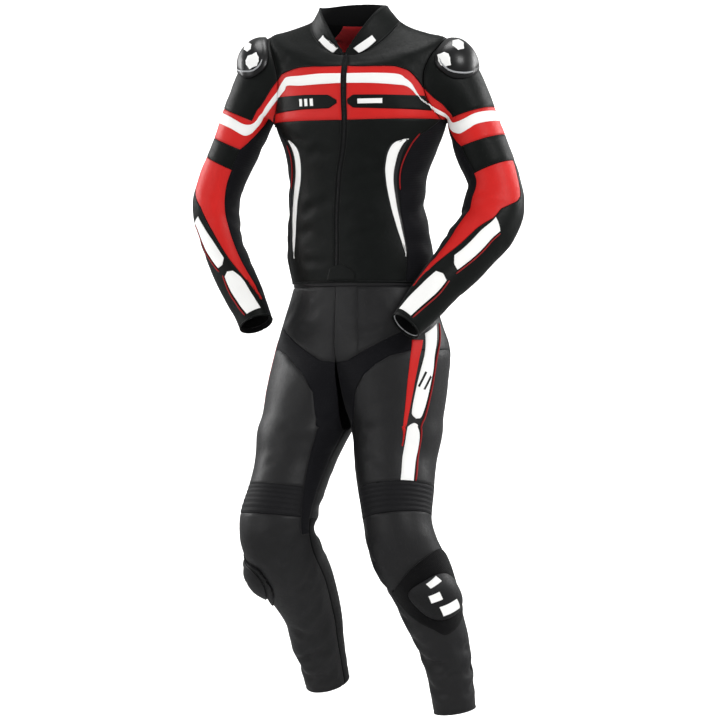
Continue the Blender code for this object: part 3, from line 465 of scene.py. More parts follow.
def sleeve_ring(side, around, row):
    rows = SLEEVE[side]
    down = run(rows, row)
    out = side * bearing(smooth(rows, "turn", row))
    out = unit(out - down * dot(out, down))
    front = np.cross(out, down) * side
    front = np.where(front[:, 1:2] > 0, -front, front)
    angle = np.radians(around)
    swell = fold_height(FOLDS["sleeve"], around, row + 1)
    return (ring_centre(rows, row)
            + ((smooth(rows, "half", row) + swell) * np.sin(angle))[:, None] * out
            + ((smooth(rows, "depth", row) + swell) * np.cos(angle))[:, None] * front)


def sleeve_point(side, around, row):
    """Rows 0 to 1 are the sleeve head, which leaves the armhole and joins the first ring."""
    start = body_point(*armhole(side, around))
    end = sleeve_ring(side, around, 0 * row)
    s, c = np.sin(np.radians(around))[:, None], np.cos(np.radians(around))[:, None]
    out = side * bearing(np.full_like(row, SHOULDER_TURN))
    front = np.stack([out[:, 1], -out[:, 0], 0 * row], -1) * side
    fall = HEAD_FALL * (1 - np.minimum(s, 0))
    leave = unit(out + HEAD_OPENING * c * front - np.array([0, 0, 1.0]) * fall)
    arrive = unit(sleeve_ring(side, around, 0 * row + 0.02) - end)
    size = np.linalg.norm(end - start, axis=-1, keepdims=True) * HEAD_BOW
    f = np.minimum(row, 1)[:, None]
    head = ((2 * f**3 - 3 * f**2 + 1) * start + (f**3 - 2 * f**2 + f) * size * leave
            + (3 * f**2 - 2 * f**3) * end + (f**3 - f**2) * size * arrive)
    return np.where(row[:, None] >= 1, sleeve_ring(side, around, np.maximum(row - 1, 0)), head)


print("cuff front:", sleeve_point(1, np.array([0.0]), np.array([10.0])).round(3))

# %% The legs


def leg_point(side, around, row):
    """Around: -180 is the front middle or inner leg, 0 the outer side and 180 the back middle."""
    rows = LEG[side]
    mirror = np.array([side, 1, 1])
    tilt = smooth(rows, "tilt", row)[:, None]
    down = unit(run(rows, row) * mirror * tilt + np.array([0, 0, 1.0]) * (tilt - 1))
    out = side * bearing(smooth(rows, "turn", row))
    out = unit(out - down * dot(out, down))
    back = np.cross(down, out) * side
    back = np.where(back[:, 1:2] < 0, -back, back)
    half = smooth(rows, "half", row)
    inner = smooth(rows, "side", row) - SEAM / 2
    widest = np.where(inner >= half, math.pi, np.arccos(np.clip(-inner / half, -1, 1)))
    angle = np.radians(around) / math.pi * widest
    depth = np.where(angle < 0, smooth(rows, "front", row), smooth(rows, "back", row))
    swell = fold_height(FOLDS["leg"], around, row) * (1 - (np.abs(around) / 180) ** FADE_POWER)
    point = (ring_centre(rows, row) * mirror + ((half + swell) * np.cos(angle))[:, None] * out
             + ((depth + swell) * np.sin(angle))[:, None] * back)
    keep = np.maximum(side * point[:, 0], SEAM / 2)
    return np.concatenate([(side * keep)[:, None], point[:, 1:]], 1)


TUBES = {
    "body": body_point,
    "sleeve_left": lambda a, r: sleeve_point(1, a, r),
    "sleeve_right": lambda a, r: sleeve_point(-1, a, r),
    "leg_left": lambda a, r: leg_point(1, a, r),
    "leg_right": lambda a, r: leg_point(-1, a, r),
}


def outward(point, around, row):
    """The direction out of the leather at each place, from four points close round it."""
    turn, step = 1.0, 0.03
    across = point(around + turn, row) - point(around - turn, row)
    along = point(around, row + step) - point(around, row - step)
    out = unit(np.cross(across, along))
    facing = dot(out, point(around, row) - point(around + 180, row))
    return np.where(facing > 0, out, -out)


print("tubes:", ", ".join(TUBES))

# %% [markdown]
# ## Creases
# Stiff leather keeps soft troughs where a limb bends: across the belly and the hips, inside the elbow,
# behind the knee and above the hems. Each crease here is a line drawn on a tube, from one place to another,
# with its width and height in millimetres. Next to the trough the leather swells a little. Low, wide
# unevenness and the forms of the knee and elbow armour under the leather are added to it.

# %% The creases of the body: from and to (around, row), bow in rows, width and height in mm
CREASE = "around row to_around to_row bow width height"
BODY_CREASES = table(
    CREASE,
    (6, 4.9, 34, 4.3, 0.10, 12, -2.2), (10, 3.9, 40, 4.4, -0.12, 11, -2.1),
    (-8, 4.6, -32, 4.9, 0.10, 11, -2.0), (-6, 3.2, -38, 2.7, -0.15, 12, -2.2),
    (5, 2.6, 33, 2.2, 0.15, 11, -2.1), (8, 1.6, 42, 2.2, -0.12, 12, -2.2),
    (-7, 1.5, -40, 1.9, 0.12, 12, -2.0), (4, 0.9, 30, 0.6, 0.08, 9, -1.6),
    (-5, 0.7, -34, 0.9, -0.08, 9, -1.6), (46, 5.4, 30, 5.0, 0.05, 8, -1.2),
    (-46, 5.6, -28, 5.2, -0.05, 8, -1.2), (60, 3.4, 100, 3.9, 0.20, 12, -2.4),
    (62, 2.4, 110, 2.9, -0.15, 13, -2.6), (58, 1.4, 100, 1.2, 0.15, 12, -2.0),
    (-60, 3.7, -104, 3.3, 0.20, 12, -2.4), (-62, 2.6, -108, 2.2, 0.15, 13, -2.6),
    (-58, 1.3, -96, 1.6, -0.12, 12, -2.0), (118, 4.5, 160, 4.0, 0.15, 13, -2.2),
    (122, 3.4, 170, 3.0, -0.15, 14, -2.6), (125, 2.5, 176, 2.2, 0.18, 14, -2.6),
    (-118, 4.3, -158, 4.1, 0.15, 13, -2.2), (-124, 3.3, -172, 3.4, -0.15, 14, -2.5),
    (-122, 2.2, -170, 2.6, 0.16, 13, -2.5), (120, 1.3, 172, 1.6, -0.12, 12, -1.8),
    (-118, 1.2, -168, 1.0, 0.12, 12, -1.8), (128, 8.9, 170, 9.6, 0.10, 14, -1.6),
    (-130, 8.8, -168, 9.4, 0.10, 14, -1.6), (126, 6.6, 150, 6.2, 0.05, 10, -1.6),
    (-128, 6.5, -152, 6.3, 0.05, 10, -1.6), (52, 8.4, 38, 9.3, 0.06, 9, -1.0),
    (-50, 8.6, -36, 9.5, 0.06, 9, -1.0),
)
print("body creases:", len(BODY_CREASES))

# %% The creases of the sleeves, the same on both with small differences
SLEEVE_CREASES = table(
    CREASE,
    (-60, 4.3, -150, 4.0, 0.15, 8.8, -1.2), (-40, 3.7, -140, 3.4, -0.12, 9.9, -1.1),
    (-50, 4.8, -145, 5.0, 0.15, 8.8, -1.1), (-45, 5.3, -120, 5.6, -0.10, 7, -1.0),
    (-150, 4.4, -190, 4.7, 0.10, 8, -1.0), (150, 3.6, 185, 3.3, 0.10, 9, -1.6),
    (20, 3.2, -30, 3.6, 0.12, 9, -1.4), (30, 4.2, -20, 4.6, 0.10, 9, -1.4),
    (50, 5.2, 96, 5.6, 0.10, 9, -1.3), (-50, 0.9, -110, 0.75, 0.08, 9, -1.8),
    (-60, 1.6, -130, 1.8, -0.10, 9, -1.8), (0, 0.45, -40, 0.7, 0.06, 8, -1.1),
    (150, 0.8, 200, 0.6, 0.08, 10, -1.6), (-45, 6.4, -110, 6.2, 0.08, 8, -1.5),
    (-40, 7.4, -100, 7.6, 0.08, 8, -1.4), (110, 6.3, 160, 6.7, 0.10, 9, -1.4),
    (90, 7.8, 150, 7.5, 0.08, 8, -1.3), (60, 2.4, 110, 2.7, 0.10, 9, -1.1),
    (140, 1.9, 190, 2.2, 0.10, 10, -1.3), (40, 0.8, 90, 0.85, 0.04, 9, -0.9),
)
print("sleeve creases:", len(SLEEVE_CREASES))

# %% The creases of the legs
LEG_CREASES = table(
    CREASE,
    (-168, 0.35, -128, 0.95, 0.12, 9.9, -2.86), (-150, 0.25, -110, 0.7, -0.08, 10, -2.0),
    (-170, 1.1, -120, 1.55, 0.16, 9.9, -2.86), (-150, 1.75, -105, 1.25, 0.10, 9, -1.8),
    (-168, 1.9, -140, 1.7, 0.05, 7, -1.6), (-95, 0.5, -60, 1.1, 0.10, 10, -1.5),
    (-120, 2.6, -80, 3.0, 0.12, 11, -1.4), (-110, 3.6, -70, 3.4, -0.08, 12, -1.2),
    (-130, 4.4, -84, 4.8, 0.10, 11, -1.4), (-140, 5.3, -96, 5.1, 0.10, 11, -1.4),
    (-120, 6.1, -78, 6.4, -0.10, 9, -1.5), (-172, 3.9, -150, 4.3, 0.10, 8, -1.6),
    (-174, 5.0, -150, 5.3, 0.10, 8, -1.6), (-174, 6.2, -152, 5.9, 0.10, 8, -1.6),
    (-150, 8.05, -96, 8.45, 0.10, 8, -1.8), (-160, 8.5, -120, 9.1, 0.12, 9, -3.4),
    (-168, 9.3, -130, 9.8, 0.10, 9, -2.8), (-110, 8.9, -70, 9.0, 0.15, 9, -1.4),
    (-150, 10.3, -104, 10.8, 0.12, 9, -2.6), (-140, 11.4, -80, 11.0, 0.12, 9, -2.8),
    (-150, 11.9, -70, 12.3, 0.16, 10.8, -5.0), (-130, 12.6, -50, 12.5, -0.12, 9.6, -4.6),
    (-140, 13.1, -60, 13.4, 0.10, 9.6, -4.4), (-40, 11.8, 20, 12.2, 0.12, 10.8, -3.8),
    (-30, 12.9, 40, 12.7, 0.10, 9.6, -4.0), (-40, 13.5, 30, 13.3, 0.06, 8.4, -3.2),
    (40, 11.6, 120, 12.0, 0.14, 11, -2.86), (50, 12.6, 140, 12.9, -0.12, 9.9, -2.86),
    (60, 13.3, 150, 13.4, 0.08, 8, -1.9), (60, 7.6, 160, 7.9, 0.15, 9.9, -3.64),
    (70, 8.3, 170, 8.2, 0.12, 9.9, -3.64), (60, 9.0, 160, 8.8, -0.12, 9, -2.4),
    (170, 7.4, 120, 7.1, 0.10, 9, -2.2), (165, 9.4, 110, 9.6, 0.12, 9, -1.8),
    (80, 6.6, 150, 6.4, 0.12, 10, -1.8), (60, 2.6, 150, 3.1, 0.20, 12, -2.2),
    (40, 1.9, 110, 2.3, 0.14, 12, -1.8), (100, 0.8, 160, 1.2, 0.12, 12, -1.6),
    (60, 4.2, 130, 4.6, 0.14, 12, -1.6), (70, 5.4, 140, 5.2, 0.14, 12, -1.6),
    (30, 0.6, 70, 0.9, 0.10, 11, -1.4),
)
print("leg creases:", len(LEG_CREASES))

# %% The armour under the leather: a place, a radius and a height in mm
ARMOUR = {
    "sleeve_left": ((80, 3.9, 46, 3.0),),
    "sleeve_right": ((80, 4.0, 44, 3.0),),
    "leg_left": ((-66, 8.5, 48, 3.2),),
    "leg_right": ((-80, 8.6, 48, 3.2),),
    "body": ((165, 8.2, 70, 1.5), (-165, 8.2, 70, 1.5)),
}


def draw_crease(point, crease, jitter):
    """A crease as points in space, with its width and height."""
    share = np.linspace(0, 1, 11)
    shift = noise.noise_vector(Vector((jitter, crease["around"] * 0.013, crease["row"])))
    around = crease["around"] + (crease["to_around"] - crease["around"]) * share + 5 * shift.x
    row = crease["row"] + (crease["to_row"] - crease["row"]) * share + 0.08 * shift.y
    row = row + crease["bow"] * np.sin(math.pi * share) + 0.03 * np.sin(7 * share + 5 * shift.z)
    size = 0.001 * (1 + 0.25 * shift.z)
    return point(around, row), crease["width"] * size, crease["height"] * size


# Each crease is shifted a little at random, from a fixed seed
CREASE_SEED = 1795525405
noise.seed_set(CREASE_SEED)
CREASES = {
    name: [draw_crease(TUBES[name], crease, index * 1.7) for crease in creases]
    for index, (name, creases) in enumerate([
        ("body", BODY_CREASES), ("sleeve_left", SLEEVE_CREASES), ("sleeve_right", SLEEVE_CREASES),
        ("leg_left", LEG_CREASES), ("leg_right", LEG_CREASES)])
}
print("creases drawn:", sum(map(len, CREASES.values())))

# %% The height of the creases at points on a tube. Reach, bank place and bank width are in crease widths
CREASE_REACH, BANK, BANK_AT, BANK_WIDTH = 3.2, 0.42, 1.8, 0.9
UNEVEN = ((0.0011, 13), (0.0005, 34))
ARMHOLE_FADE, HEAD_FADE, INNER_FADE = 0.03, 0.3, 0.02


def crease_height(name, points):
    height = np.zeros(len(points))
    for line, width, peak in CREASES[name]:
        reach = CREASE_REACH * width
        near = np.all((points > line.min(0) - reach) & (points < line.max(0) + reach), 1)
        if not near.any():
            continue
        here = points[near]
        best, where = np.full(len(here), 1e9), np.zeros(len(here))
        for index, (a, b) in enumerate(zip(line, line[1:])):
            part = np.clip(((here - a) @ (b - a)) / max((b - a) @ (b - a), 1e-12), 0, 1)
            gap = np.linalg.norm(here - a - part[:, None] * (b - a), axis=1)
            closer = gap < best
            best = np.where(closer, gap, best)
            where = np.where(closer, (index + part) / (len(line) - 1), where)
        off = best / width
        fade = np.sin(math.pi * np.clip(where, 0.02, 0.98)) ** 0.7
        fade *= 1 + 0.3 * np.sin(11 * where + 40 * width)
        height[near] += peak * fade * (np.exp(-off**2) - BANK * np.exp(-((off - BANK_AT) / BANK_WIDTH) ** 2))
    return height


def unevenness(points):
    """Low, wide unevenness of stiff leather, about 1 mm high."""
    return np.array([sum(high * noise.noise(Vector(p) * scale) for high, scale in UNEVEN) for p in points])


def skin(name, around, row):
    """Points on the creased leather, and the direction out of it at each."""
    around, row = np.asarray(around, float), np.asarray(row, float)
    point = TUBES[name]
    base, out = point(around, row), outward(point, around, row)
    height = crease_height(name, base) + unevenness(base)
    for middle, middle_row, radius, high in ARMOUR[name]:
        centre = point(np.array([float(middle)]), np.array([float(middle_row)]))
        height += 0.001 * high * np.exp(-(np.linalg.norm(base - centre, axis=1) / (0.001 * radius)) ** 4)
    if name == "body":
        height *= np.clip(gap_to(ARMHOLES, base) / ARMHOLE_FADE, 0, 1)
    elif name.startswith("sleeve"):
        height *= np.clip(row / HEAD_FADE, 0, 1)
    else:
        rows = LEG[side_of(name)]
        cut = np.clip((smooth(rows, "half", row) - smooth(rows, "side", row)) / INNER_FADE, 0, 1)
        height *= 1 - cut * (np.abs(around) / 180) ** FADE_POWER
    place = base + out * height[:, None]
    if name.startswith("leg"):
        side = side_of(name)
        place[:, 0] = side * np.maximum(side * place[:, 0], SEAM / 2)
    return place - HELD_AT, out


def gap_to(targets, points):
    """The distance from each point to the nearest target."""
    tree = kdtree.KDTree(len(targets))
    for index, target in enumerate(targets):
        tree.insert(target, index)
    tree.balance()
    return np.array([tree.find(point)[2] for point in points])


ARMHOLES = np.concatenate([body_point(*armhole(side, np.arange(0, 360, 4.0))) for side in SIDES])


print("a belly point:", skin("body", [10], [4.5])[0].round(4))

# %% [markdown]
# ## Seam lines
# The tailor's seam lines are a net on each tube. A line and a column may be whole numbers, at a seam, or lie
# between, so the same net gives the fine mesh of a panel and the run of its stitches.

# %% The body's net
ZIP_HALF = 1.8
HEM_ROWS = (0, 0.45, 0.95, 1.6, 2.3, 2.9, 3.5, 4.1, 4.7, 5.3)
FRONT_SEAM = ((0, 60), (0.9, 58), (2.9, 55), (4.1, 52), (4.7, 51), (5.3, 55))
TRIM_SEAM = ((0, 54), (0.9, 53), (2.9, 46), (4.1, 40), (4.7, 39), (5.3, 44))
BACK_SEAM = ((0, 118), (3, 122), (5.3, 118))
ARMPIT_ANGLES = (-72, -84, -96, -108)
BAND_ANGLES = (-72, -58.5, -45, -31.5, -18)
YOKE_ANGLES = (3.6, 25.2, 46.8, 68.4, 90)
BAND_SHARES = (0, 0.36, 0.56, 0.75, 1)
BAND_LOW, BAND_EDGE_LOW = 6.0, 6.1
FRONT_BAND_TOP = {
    1: ((0, 9.2), (0.3, 9.0), (0.55, 8.75), (0.75, 8.3), (1, 7.38)),
    -1: ((0, 9.2), (0.3, 9.0), (0.55, 8.75), (0.72, 8.47), (0.9, 8.22), (1, 7.93)),
}
BACK_BAND_TOP = ((0, 8.6), (0.5, 8.35), (0.8, 7.9), (1, 7.38))
EDGE_SHIFT = {
    1: ((0, 0), (0.25, -9.8), (0.5, -13.1), (0.7, -19.8), (1.05, -19.4), (1.85, 0)),
    -1: ((0, 16), (0.39, -4.8), (0.61, -13.8), (0.96, -19.3), (1.16, -19), (1.85, 0)),
}
EDGE_SPREAD = ((-72, 0), (-18, 1), (90, 0))
FRONT_SHARES = (0, 0.2, 0.4, 0.6, 0.8, 1)
BACK_SHARES = (1, 0.8, 0.56, 0.32, 0.16, 0)
BAND_LINE = len(HEM_ROWS)
YOKE_LINE = BAND_LINE + len(BAND_ANGLES) - 1
SHOULDER_LINE = YOKE_LINE + len(YOKE_ANGLES)
NECK_LINE, RIM_LINE = SHOULDER_LINE + 2, SHOULDER_LINE + 4
FRONT_COLUMN = len(FRONT_SHARES) - 1
BACK_COLUMN = FRONT_COLUMN + len(ARMPIT_ANGLES) - 1
LAST_COLUMN = BACK_COLUMN + len(BACK_SHARES) - 1


def between(values, at):
    return float(np.interp(at, range(len(values)), values))


def edge_shift(side, angle, row):
    return straight(EDGE_SHIFT[side], row) * straight(EDGE_SPREAD, angle)


def edge_place(side, line, back):
    angles = BAND_ANGLES + YOKE_ANGLES
    if line <= SHOULDER_LINE:
        angle = between(angles, line - BAND_LINE)
        angle = 180 - angle if back else angle + edge_shift(side, angle, 0)
        return [float(x) for x in armhole(1, angle)]
    if line <= NECK_LINE:
        return 90, SHOULDER + (NECK - SHOULDER) * (line - SHOULDER_LINE) / (NECK_LINE - SHOULDER_LINE)
    return 90, NECK + (RIM - NECK) * (line - NECK_LINE) / (RIM_LINE - NECK_LINE)


def upper_place(side, line, share, back):
    start = 180 if back else ZIP_HALF
    edge, edge_row = edge_place(side, line, back)
    around = start + (edge - start) * share
    edge_top = edge_place(side, YOKE_LINE, back)[1]
    top = straight(BACK_BAND_TOP if back else FRONT_BAND_TOP[side], share)
    if line > NECK_LINE:
        return around, edge_row
    if line > YOKE_LINE:
        return around, top + (NECK - top) * (edge_row - edge_top) / (NECK - edge_top)
    step = between(BAND_SHARES, line - BAND_LINE)
    low = BAND_LOW + (BAND_EDGE_LOW - BAND_LOW) * share
    miss = edge_row - (BAND_EDGE_LOW + (edge_top - BAND_EDGE_LOW) * step)
    return around, low + (top - low) * step + miss * share**4


def above_armpit(side, line, column):
    if column <= FRONT_COLUMN:
        return upper_place(side, line, between(FRONT_SHARES, column), False)
    if column >= BACK_COLUMN:
        return upper_place(side, line, between(BACK_SHARES, column - BACK_COLUMN), True)
    return [float(x) for x in armhole(1, between(ARMPIT_ANGLES, column - FRONT_COLUMN))]


def below_armpit(line, column):
    row = between(HEM_ROWS, line)
    front, back, trim = (straight(seam, row) for seam in (FRONT_SEAM, BACK_SEAM, TRIM_SEAM))
    marks = ((0, ZIP_HALF), (FRONT_COLUMN - 1, trim), (FRONT_COLUMN, front), (BACK_COLUMN, back))
    if column <= BACK_COLUMN:
        return straight(marks, column), row
    return 180 + (back - 180) * between(BACK_SHARES, column - BACK_COLUMN), row


def body_place(line, column, side=1):
    if -1 < column < 0:
        around, row = body_place(line, 0)
        return around * (1 + 2 * column), row
    if column <= -1:
        around, row = body_place(line, -1 - column, -1)
        return -around, row
    if line >= BAND_LINE:
        return above_armpit(side, line, column)
    if line <= BAND_LINE - 1:
        return below_armpit(line, column)
    low, high = below_armpit(BAND_LINE - 1, column), above_armpit(side, BAND_LINE, column)
    part = line - BAND_LINE + 1
    return tuple(a + (b - a) * part for a, b in zip(low, high))


print("the shoulder seam starts at", body_place(SHOULDER_LINE, FRONT_COLUMN))

# %% The sleeves' net
HEAD_ANGLES = (
    *(-108, -96, -84),
    *BAND_ANGLES,
    *YOKE_ANGLES,
    *(180 - angle for angle in YOKE_ANGLES[-2::-1]),
    *(180 - angle for angle in BAND_ANGLES[::-1]),
)
SLEEVE_COLUMNS = len(HEAD_ANGLES) - 1
STRETCH_FRONT, RED_EDGE, BAR_FRONT, BAR_BACK, STRETCH_BACK = 6, 11, 12, 13, 18
HEAD_FRONT, HEAD_BACK, ARMPIT_COLUMN = 7, 17, 3
SLEEVE_SEAMS = table(
    "share stretch_front red_edge bar_front bar_back stretch_back",
    (0.00, -31.5, 68.4, 90.0, 111.6, 211.5),
    (0.20, -33, 74, 92, 112, 213),
    (0.27, -33, 76, 94, 114, 215),
    (0.36, -36, 66, 84, 102, 218),
    (0.45, -40, 22, 34, 56, 222),
    (0.60, -43, -2, 12, 38, 222),
    (0.74, -48, -25, -5, 24, 222),
    (0.885, -62, -54, -22, 14, 222),
    (1.00, -62, -50, -40, 8, 222),
)
BAND_FOOT = 1.85
FOOT_ROWS = {3: 1.0, 4: 1.25, 5: 1.55, 19: 1.55, 20: 1.25, 21: 1.0, 0: 1.0, 1: 0.95, 2: 0.95}
FEET = [FOOT_ROWS.get(column, BAND_FOOT) for column in range(SLEEVE_COLUMNS + 1)]
UPPER_SHARES = {1: (0, 0.2, 0.38, 0.54, 0.63, 0.77, 1), -1: (0, 0.21, 0.42, 0.625, 0.69, 0.81, 1)}
LOWER_SHARES = (0.27, 0.335, 0.40, 0.46, 0.53, 0.60, 0.67, 0.74, 0.81, 0.885, 0.945, 1)
BAND_TOP_LINE, STRIPE_LINE, BAND_FOOT_LINE = 3, 4, 6
RED_TOP_LINE, BAR_LINE, RED_TIP_LINE, CUFF_LINE = 7, 10, 16, 18


def sleeve_angle(side, column, row):
    share = row / len(SLEEVE[side])
    seams = {STRETCH_FRONT: "stretch_front", RED_EDGE: "red_edge", BAR_FRONT: "bar_front",
             BAR_BACK: "bar_back", STRETCH_BACK: "stretch_back"}
    marks = [(index, straight([(row["share"], row[name]) for row in SLEEVE_SEAMS], share))
             for index, name in seams.items()]
    marks = [(marks[-1][0] - SLEEVE_COLUMNS, marks[-1][1] - 360), *marks]
    marks.append((marks[1][0] + SLEEVE_COLUMNS, marks[1][1] + 360))
    even = straight(marks, column)
    head = between(HEAD_ANGLES, column)
    blend = min(share / SLEEVE_SEAMS[1]["share"], 1)
    return head + (even - head) * blend + edge_shift(side, head, row)


def sleeve_net(side):
    last = len(SLEEVE[side])

    def place(line, column):
        foot = between(FEET, column)
        rows = [share * foot for share in UPPER_SHARES[side]]
        rows += [foot + (share * last - BAND_FOOT) * (last - foot) / (last - BAND_FOOT)
                 for share in LOWER_SHARES]
        row = between(rows, line)
        return sleeve_angle(side, column, row), row

    return place


print("sleeve columns:", SLEEVE_COLUMNS)

# %% The legs' net
LEG_SEAMS = table(
    "row gusset red white_front white_back side",
    (0.0, -145, -70, -40, -8, 20),
    (1.3, -145, -68, -38, -6, 22),
    (2.7, -145, -67, -52, -29, 20),
    (4.2, -144, -65, -49, -34, 18),
    (4.8, -137, -64, -50, -35, 18),
    (5.7, -143, -62, -52, -36, 18),
    (6.9, -154, -64, -56, -37, 18),
    (7.8, -163, -64, -50, -30, 20),
    (8.4, -166, -64, -46, -26, 20),
    (14.0, -150, -66, -42, -18, 20),
)
GUSSET_COLUMN, RED_COLUMN, WHITE_COLUMN, WHITE_BACK, SIDE_COLUMN, LEG_COLUMNS_END = 1, 4, 5, 6, 8, 14
GUSSET_TOP = ((-180, 2.35), (-160, 2.3), (-130, 1.95), (-100, 1.6), (-70, 1.33))
GUSSET_LOW = ((-180, 3.3), (-145, 3.2), (-135, 2.7), (-120, 2.4), (-100, 2.15), (-70, 2.0), (20, 2.0),
              (180, 3.2))
THIGH_ROWS = (3.9, 4.4, 4.75, 5.4, 6.15)
RIB_ROWS = (6.9, 7.05, 7.2, 7.35, 7.5, 7.65, 7.8)
SHIN_ROWS = (8.4, 9.0, 9.6, 10.2, 10.8, 11.5, 12.2, 12.9, 13.5, 14)
GUSSET_LINE, THIGH_LINE = 2, 4
RIB_LINE = THIGH_LINE + 1 + len(THIGH_ROWS)
SHIN_LINE = RIB_LINE + len(RIB_ROWS) - 1
HEM_LINE = SHIN_LINE + len(SHIN_ROWS)
STRIPE_SHIFT, KNEE_ROW, SHIFT_FADE = {1: 0, -1: 15}, 8.4, 1.5


def above_knee(row):
    """1 on the thigh, fading to 0 at the knee."""
    return min(max((KNEE_ROW - row) / SHIFT_FADE, 0), 1)


def leg_angle(side, column, row):
    shift = STRIPE_SHIFT[side] * above_knee(row)
    marks = {0: -180, GUSSET_COLUMN: "gusset", RED_COLUMN: "red", WHITE_COLUMN: "white_front",
             WHITE_BACK: "white_back", SIDE_COLUMN: "side", LEG_COLUMNS_END: 180}
    pairs = []
    for index, name in marks.items():
        fixed = isinstance(name, int)
        seam = name if fixed else straight([(mark["row"], mark[name]) for mark in LEG_SEAMS], row)
        pairs.append((index, seam + shift * (RED_COLUMN <= index <= SIDE_COLUMN)))
    return straight(pairs, column)


def leg_net(side):
    def place(line, column):
        top = straight(GUSSET_TOP, leg_angle(side, column, 2))
        low = straight(GUSSET_LOW, leg_angle(side, column, 2.5))
        row = between((0, top / 2, top, (top + low) / 2, low, *THIGH_ROWS, *RIB_ROWS, *SHIN_ROWS), line)
        return leg_angle(side, column, row), row

    return place


NETS = {
    "body": body_place,
    "sleeve_left": sleeve_net(1),
    "sleeve_right": sleeve_net(-1),
    "leg_left": leg_net(1),
    "leg_right": leg_net(-1),
}


def block(lines, columns):
    return [(line, column) for line in range(*lines) for column in range(*columns)]


def mirrored(column):
    return -1 - column


print("leg lines:", HEM_LINE)

# %% [markdown]
# ## Leathers, stretch and plastics
# Full-grain cowhide for race suits is finished with a thin pigmented coat. It is satin, with a pebble grain
# of one to two millimetres and fine wrinkles where it bends. The same recipe serves every colour: a base
# colour that drifts a little, a grain from Voronoi cells, and darker burnishing along the seams from the
# mesh's own attribute, so the finish stays with the piece from every side.

# %% A recipe for finished cowhide. Its grain is drawn at 2.4 mm, coarser than the real 1.5 mm, to show
GRAIN_HEIGHT = 0.00022


def cowhide(name, base, shade, roughness, shine=0.2):
    made, tree, shader = new_material(name, base, roughness, Specular_IOR_Level=shine)
    place = add_node(tree, "TexCoord").outputs["Object"]
    drift = add_node(tree, "TexNoise", {}, {"Vector": place, "Scale": 14.0, "Detail": 4.0, "Roughness": 0.6})
    speck = add_node(tree, "TexNoise", {}, {"Vector": place, "Scale": 260.0, "Detail": 2.0})
    edge = add_node(tree, "Attribute", {"attribute_name": "edge"})
    worn = add_node(tree, "Math", {"operation": "MULTIPLY"}, {0: edge.outputs["Fac"], 1: 0.55})
    drifting = mix_colours(tree, drift.outputs["Fac"], shade, base)
    tree.links.new(mix_colours(tree, worn.outputs[0], drifting, shade), shader.inputs["Base Color"])
    rough = add_node(tree, "MapRange", {}, {
        0: speck.outputs["Fac"], 1: 0.3, 2: 0.7, 3: roughness - 0.06, 4: roughness + 0.08})
    tree.links.new(rough.outputs[0], shader.inputs["Roughness"])
    pebble = add_node(tree, "TexVoronoi", {"feature": "DISTANCE_TO_EDGE"}, {"Vector": place, "Scale": 420.0})
    fine = add_node(tree, "TexNoise", {}, {
        "Vector": place, "Scale": 70.0, "Detail": 5.0, "Roughness": 0.62, "Distortion": 0.6})
    wrinkles = add_bump(tree, fine.outputs["Fac"], 0.0011, 0.5)
    pebbles = add_bump(tree, pebble.outputs["Distance"], GRAIN_HEIGHT, 0.6, Normal=wrinkles)
    tree.links.new(pebbles, shader.inputs["Normal"])
    return made


LEATHERS = {
    "leather": cowhide("cowhide_charcoal", "#212122", "#19191A", 0.46, 0.2),
    "jacket_leather": cowhide("cowhide_black", "#101312", "#0C0E0D", 0.46, 0.1),
    # The calf leather is darker than the trousers' charcoal: painted shade on the backs of the lower legs
    "calf_painted_shade_leather": cowhide("cowhide_calf_painted_shade", "#0F0F10", "#0B0B0C", 0.5, 0.1),
    "red_leather": cowhide("cowhide_signal_red", "#D0211D", "#B81917", 0.46),
    "white_leather": cowhide("cowhide_white", "#F6F6F4", "#E9E9E7", 0.44),
    "dark_red": cowhide("cowhide_dark_red", "#9A1216", "#740C10", 0.48),
}
print("leathers:", len(LEATHERS))

# %% [markdown]
# Stretch fabric is a coated elastic weave. It has fine ribs, scatters light at its rim and looks duller and a
# little bluer than leather. The ribs are drawn 3 mm apart so that they show.

# %% Stretch fabric, hook pad, lining and label. A wave texture of scale 1 repeats every 0.314 m
WAVE_SCALE = 0.314


def woven(name, base, shade, pitch, roughness, depth, sheen):
    made, tree, shader = new_material(name, base, roughness, Sheen_Weight=sheen, Sheen_Roughness=0.5,
                                      Specular_IOR_Level=0.12)
    cloth = add_node(tree, "UVMap", {"uv_map": "cloth"}).outputs["UV"]
    warp, weft = (
        add_node(tree, "TexWave", {"bands_direction": way}, {
            "Vector": cloth, "Scale": WAVE_SCALE / pitch, "Distortion": 0.4}).outputs["Fac"] for way in "XY")
    weave = add_node(tree, "Math", {"operation": "MULTIPLY"}, {0: warp, 1: weft}).outputs[0]
    tree.links.new(mix_colours(tree, weave, shade, base), shader.inputs["Base Color"])
    tree.links.new(add_bump(tree, weave, depth, 0.7), shader.inputs["Normal"])
    return made


FABRICS = {
    "stretch": woven("woven_elastic_black", "#0E0E13", "#09090D", 0.003, 0.72, 0.0004, 0.04),
    "ribbed_stretch": woven("woven_elastic_ribbed", "#19191B", "#121214", 0.003, 0.62, 0.0003, 0.03),
    "hook_pad": woven("loop_tape_black", "#0B0B0D", "#060607", 0.0024, 0.95, 0.0006, 0.06),
    "lining": woven("mesh_lining_grey", "#101112", "#09090A", 0.004, 0.85, 0.0005, 0.05),
    "zip_tape": woven("woven_zip_tape_black", "#121313", "#0C0D0D", 0.002, 0.8, 0.0002, 0.02),
    "label_red": woven("satin_label_red", "#F4343A", "#E02A30", 0.002, 0.55, 0.0001, 0.3),
}
print("fabrics:", len(FABRICS))

# %% [markdown]
# Shoulder cups are glossy thermoplastic with faint moulding ripple. Sliders are matte polyurethane, scuffed
# by handling. Zips are moulded acetal teeth on a woven tape. Threads are bonded nylon.

# %% Plastics and threads


